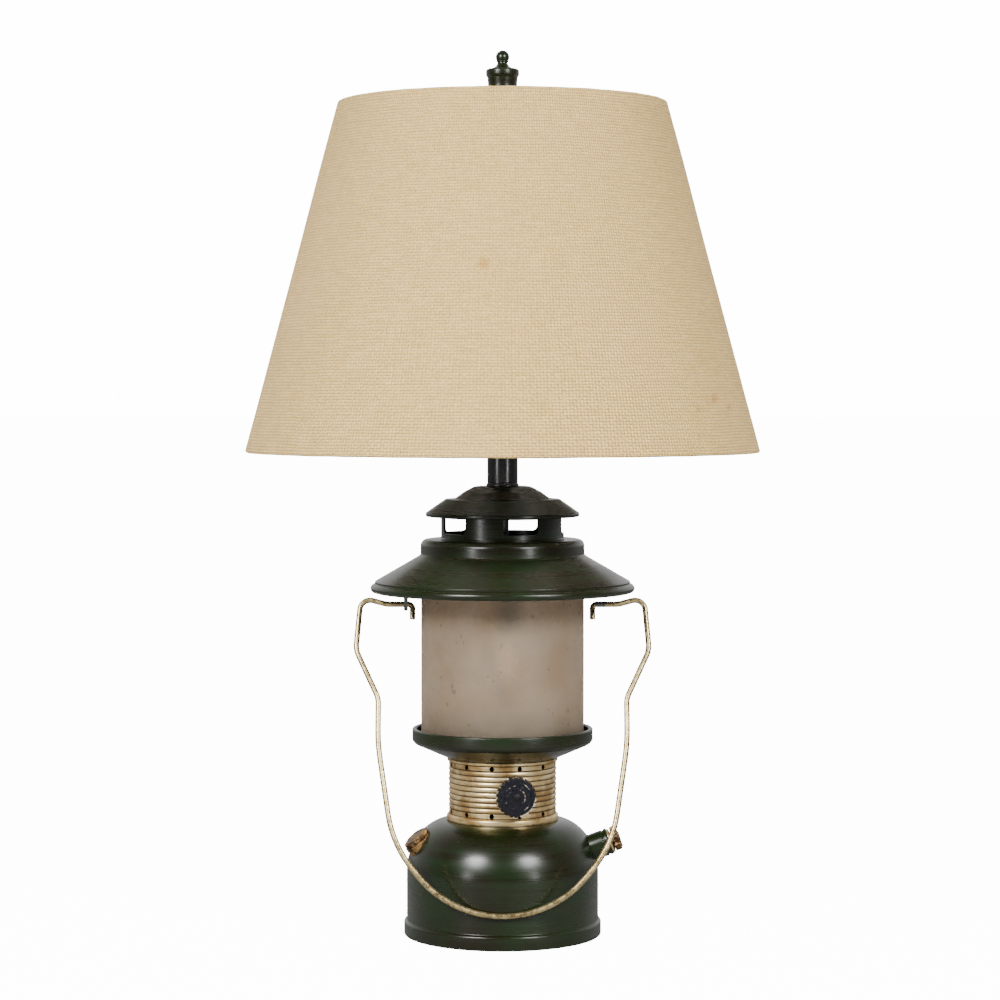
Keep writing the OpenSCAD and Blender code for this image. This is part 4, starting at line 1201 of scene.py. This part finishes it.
class LAMP_OT_shade_cloth(Builder, bpy.types.Operator):
    """Stretch the burlap over the shade, turned in at both rims"""

    bl_idname = "lamp.shade_cloth"
    bl_label = "Shade cloth"

    def build(self, s):
        z0, z1 = low("shade_cover").z, high("shade_cover").z
        wide = high("shade_cover").x
        narrow = shade_line(z=z1)
        roll, hem = 1.6 * MM, s.hem
        rows = [(wide + (narrow - wide) * i / 46, z0 + (z1 - z0) * i / 46) for i in range(2, 45)]
        outline = rounded([
            *near(wide - hem, z0, (0, 1.4), (1, 0.1, 0.6)), (wide, z0, roll), rows[0],
        ]) + rows[1:-1] + rounded([
            rows[-1], (narrow, z1, roll), *near(narrow - hem, z1, (1, -0.1, 0.6), (0, -1.4)),
        ])
        bm = bmesh.new()
        steps = 288
        verts = [bm.verts.new((r, 0, z)) for r, z in outline]
        edges = [bm.edges.new(pair) for pair in zip(verts, verts[1:])]
        bmesh.ops.spin(bm, geom=verts + edges, cent=(0, 0, 0), axis=(0, 0, 1), angle=tau, steps=steps,
                       use_merge=True, use_duplicate=False)
        bmesh.ops.remove_doubles(bm, verts=bm.verts, dist=MERGE)
        bmesh.ops.recalc_face_normals(bm, faces=bm.faces)
        facing = [face.normal.dot((*face.calc_center_median().xy, 0)) * face.calc_area() for face in bm.faces]
        if sum(facing) < 0:
            bmesh.ops.reverse_faces(bm, faces=bm.faces)
        for v in bm.verts:
            way = Vector((v.co.x, v.co.y, 0)).normalized()
            ripple = noise.noise(Vector((way.x * 4, way.y * 4, v.co.z * 14))) * 0.35 * MM
            edge = noise.noise(Vector((way.x * 9, way.y * 9, 3.1 if v.co.z > z0 + 0.1 else 7.7))) * 0.3 * MM
            v.co += way * (ripple - 0.3 * MM) + Vector((0, 0, edge * 0.8))
        mean, slant = (wide + narrow) / 2, hypot(wide - narrow, z1 - z0)
        layer = bm.loops.layers.uv.new("UVMap")
        for face in bm.faces:
            centre = face.calc_center_median()
            middle_angle = atan2(centre.x, -centre.y)
            for loop in face.loops:
                turn = atan2(loop.vert.co.x, -loop.vert.co.y) - middle_angle
                turn = (turn + pi) % tau - pi
                inward = shade_line(z=loop.vert.co.z) - hypot(loop.vert.co.x, loop.vert.co.y)
                drop = (loop.vert.co.z - z0) * slant / (z1 - z0)
                hemmed = inward if drop > slant / 2 else -inward
                loop[layer].uv = ((middle_angle + turn) * mean, drop + hemmed)
        cloth = settle(bm, "burlap_cover", "burlap", "shade_cover", sharp=60)
        wall = cloth.modifiers.new("cloth thickness", "SOLIDIFY")
        wall.thickness, wall.offset = 0.9 * MM, -1


class LAMP_OT_shade_liner(Builder, bpy.types.Operator):
    """Make the stiff white liner inside the cloth"""

    bl_idname = "lamp.shade_liner"
    bl_label = "Shade liner"

    def build(self, s):
        z0, z1 = low("shade_liner").z, high("shade_liner").z
        outer, wall = 1.9 * MM, 0.5 * MM
        bm = bmesh.new()
        spin(bm, [
            (shade_line(outer, z0), z0), (shade_line(outer, z1), z1),
            (shade_line(outer + wall, z1), z1), (shade_line(outer + wall, z0), z0),
        ], steps=288)
        settle(bm, "liner_sheet", "shade_liner_sheet", "shade_liner")


class LAMP_OT_finial(Builder, bpy.types.Operator):
    """Make the turned finial"""

    bl_idname = "lamp.finial"
    bl_label = "Finial"

    def build(self, s):
        z0, z1 = low("finial").z, high("finial").z
        depth, ball = 21 * MM, 5.4 * MM
        top = z1 - 50 * MM
        outline = [(STUD_HOLE, z0)] + rounded([
            (9 * MM, z0),
            *near(
                0, top, (10.8, 2, 1), (11.7, 7, 6), (11.5, 23, 8), (11.9, 28.5, 1), (13.1, 30.6, 0.8),
                (13.1, 34.2, 0.9), (11.6, 35.4, 0.4), (9.8, 35.6),
            ),
        ])
        outline += arc((11.5 * MM, top + 40.5 * MM), 7.5 * MM, 5 * MM, -105, -172, 8)
        outline += arc((3.2 * MM, top + 41.3 * MM), 1.6 * MM, 1 * MM, -60, 60, 8)
        outline += arc((0, z1 - ball), ball, ball, -50, 90, 20)
        outline = [(0, z0 + depth), (STUD_HOLE, z0 + depth)] + outline
        bm = bmesh.new()
        spin(bm, outline, closed=False, steps=96)
        settle(bm, "turned_finial", "green_enamel", "finial")


# ---- Finishes of the frame's own parts, and the stage ----


class LAMP_OT_frame_finishes(Builder, bpy.types.Operator):
    """Give every frame part its slot's finish"""

    bl_idname = "lamp.frame_finishes"
    bl_label = "Finishes of the inner parts"

    def build(self, s):
        for part in frame["record"]["subparts"]:
            obj = frame["nodes"][part["node"]]
            obj.data.materials.clear()
            obj.data.materials.append(finish(part["material_slot"]))


def softbox(name, azimuth, elevation, distance, size, power, shape="DISK"):
    """A soft lamp that points at the middle of the lamp."""
    light = bpy.data.lights.new(name, "AREA")
    light.shape, light.size, light.energy = shape, size, power
    obj = linked(name, light)
    a, e = radians(azimuth), radians(elevation)
    way = Vector((sin(a) * cos(e), -cos(a) * cos(e), sin(e)))
    obj.location = Vector((0, 0, 0.3)) + way * distance
    obj.rotation_euler = way.to_track_quat("Z", "Y").to_euler()
    return obj


class LAMP_OT_stage(Builder, bpy.types.Operator):
    """Set up the camera, floor, soft lights and surroundings"""

    bl_idname = "lamp.stage"
    bl_label = "Stage"

    def build(self, s):
        scene = bpy.context.scene
        data = bpy.data.cameras.new("camera")
        data.lens, data.sensor_width = 102.6, 36
        camera = linked("camera", data)
        camera.location = (-0.002, -2.25, 0.433)
        camera.rotation_euler = (radians(90 - 2.25), 0, 0)
        scene.camera = camera

        bm = bmesh.new()
        bmesh.ops.create_circle(bm, cap_ends=True, segments=96, radius=40)
        mesh = bpy.data.meshes.new("floor")
        bm.to_mesh(mesh)
        bm.free()
        floor = linked("floor", mesh)
        f = Finish("pale_floor")
        seen = f.node("LightPath").outputs["Is Camera Ray"]
        f.set(Base_Color=f.mix(f.noise(0.8, 2), (0.30, 0.30, 0.30), (0.34, 0.34, 0.34)), Roughness=0.9)
        f.set(Specular_IOR_Level=0.1, Emission_Color=(1.0, 1.0, 1.0))
        f.set(Emission_Strength=f.times(seen, BACKDROP))
        mesh.materials.append(f.material)

        softbox("key", -36, 27, 2.2, 0.75, 80)
        softbox("fill", 36, 27, 2.2, 0.75, 62)
        for name, azimuth in (("left strip", -42), ("right strip", 38)):
            strip = softbox(name, azimuth, 1, 2.0, 0.16, 5, "RECTANGLE")
            strip.data.size_y = 0.34

        world = bpy.data.worlds.new("studio")
        scene.world = world
        sky = Nodes(world, "Background")
        up = sky.node("SeparateXYZ", {0: sky.node("TexCoord").outputs["Generated"]}).outputs["Y"]
        seen = sky.node("LightPath").outputs["Is Camera Ray"]
        glow = sky.math("MULTIPLY_ADD", seen, BACKDROP, sky.span(up, -0.3, 0.7, 0.02, 1.1))
        sky.set(Color=(1, 1, 1), Strength=glow)


class LAMP_PT_panel(bpy.types.Panel):
    """Buttons for the lamp's pieces, with their sizes and colours"""

    bl_idname = "LAMP_PT_panel"
    bl_label = "Camp Lantern Lamp"
    bl_space_type = "VIEW_3D"
    bl_region_type = "UI"
    bl_category = "Lamp"

    def draw(self, context):
        for operator in OPERATORS:
            self.layout.operator(operator.bl_idname)
        for group in (context.scene.lamp_sizes, context.scene.lamp_colours):
            box = self.layout.box()
            for name in group.__annotations__:
                box.prop(group, name)


OPERATORS = (
    LAMP_OT_stage,
    LAMP_OT_frame_finishes,
    LAMP_OT_tank,
    LAMP_OT_base_fittings,
    LAMP_OT_filler,
    LAMP_OT_pump,
    LAMP_OT_collar,
    LAMP_OT_control_knob,
    LAMP_OT_tray,
    LAMP_OT_globe,
    LAMP_OT_hood,
    LAMP_OT_vent,
    LAMP_OT_bail,
    LAMP_OT_ears,
    LAMP_OT_neck,
    LAMP_OT_socket,
    LAMP_OT_harp,
    LAMP_OT_shade_wires,
    LAMP_OT_shade_liner,
    LAMP_OT_shade_cloth,
    LAMP_OT_finial,
)
CLASSES = (LampSizes, LampColours, *OPERATORS, LAMP_PT_panel)


def register():
    for cls in CLASSES:
        bpy.utils.register_class(cls)
    bpy.types.Scene.lamp_sizes = PointerProperty(type=LampSizes)
    bpy.types.Scene.lamp_colours = PointerProperty(type=LampColours)


def unregister():
    del bpy.types.Scene.lamp_colours
    del bpy.types.Scene.lamp_sizes
    for cls in reversed(CLASSES):
        bpy.utils.unregister_class(cls)


def main():
    register()
    for operator in OPERATORS:
        group, name = operator.bl_idname.split(".")
        getattr(getattr(bpy.ops, group), name)()


if __name__ == "__main__":
    main()
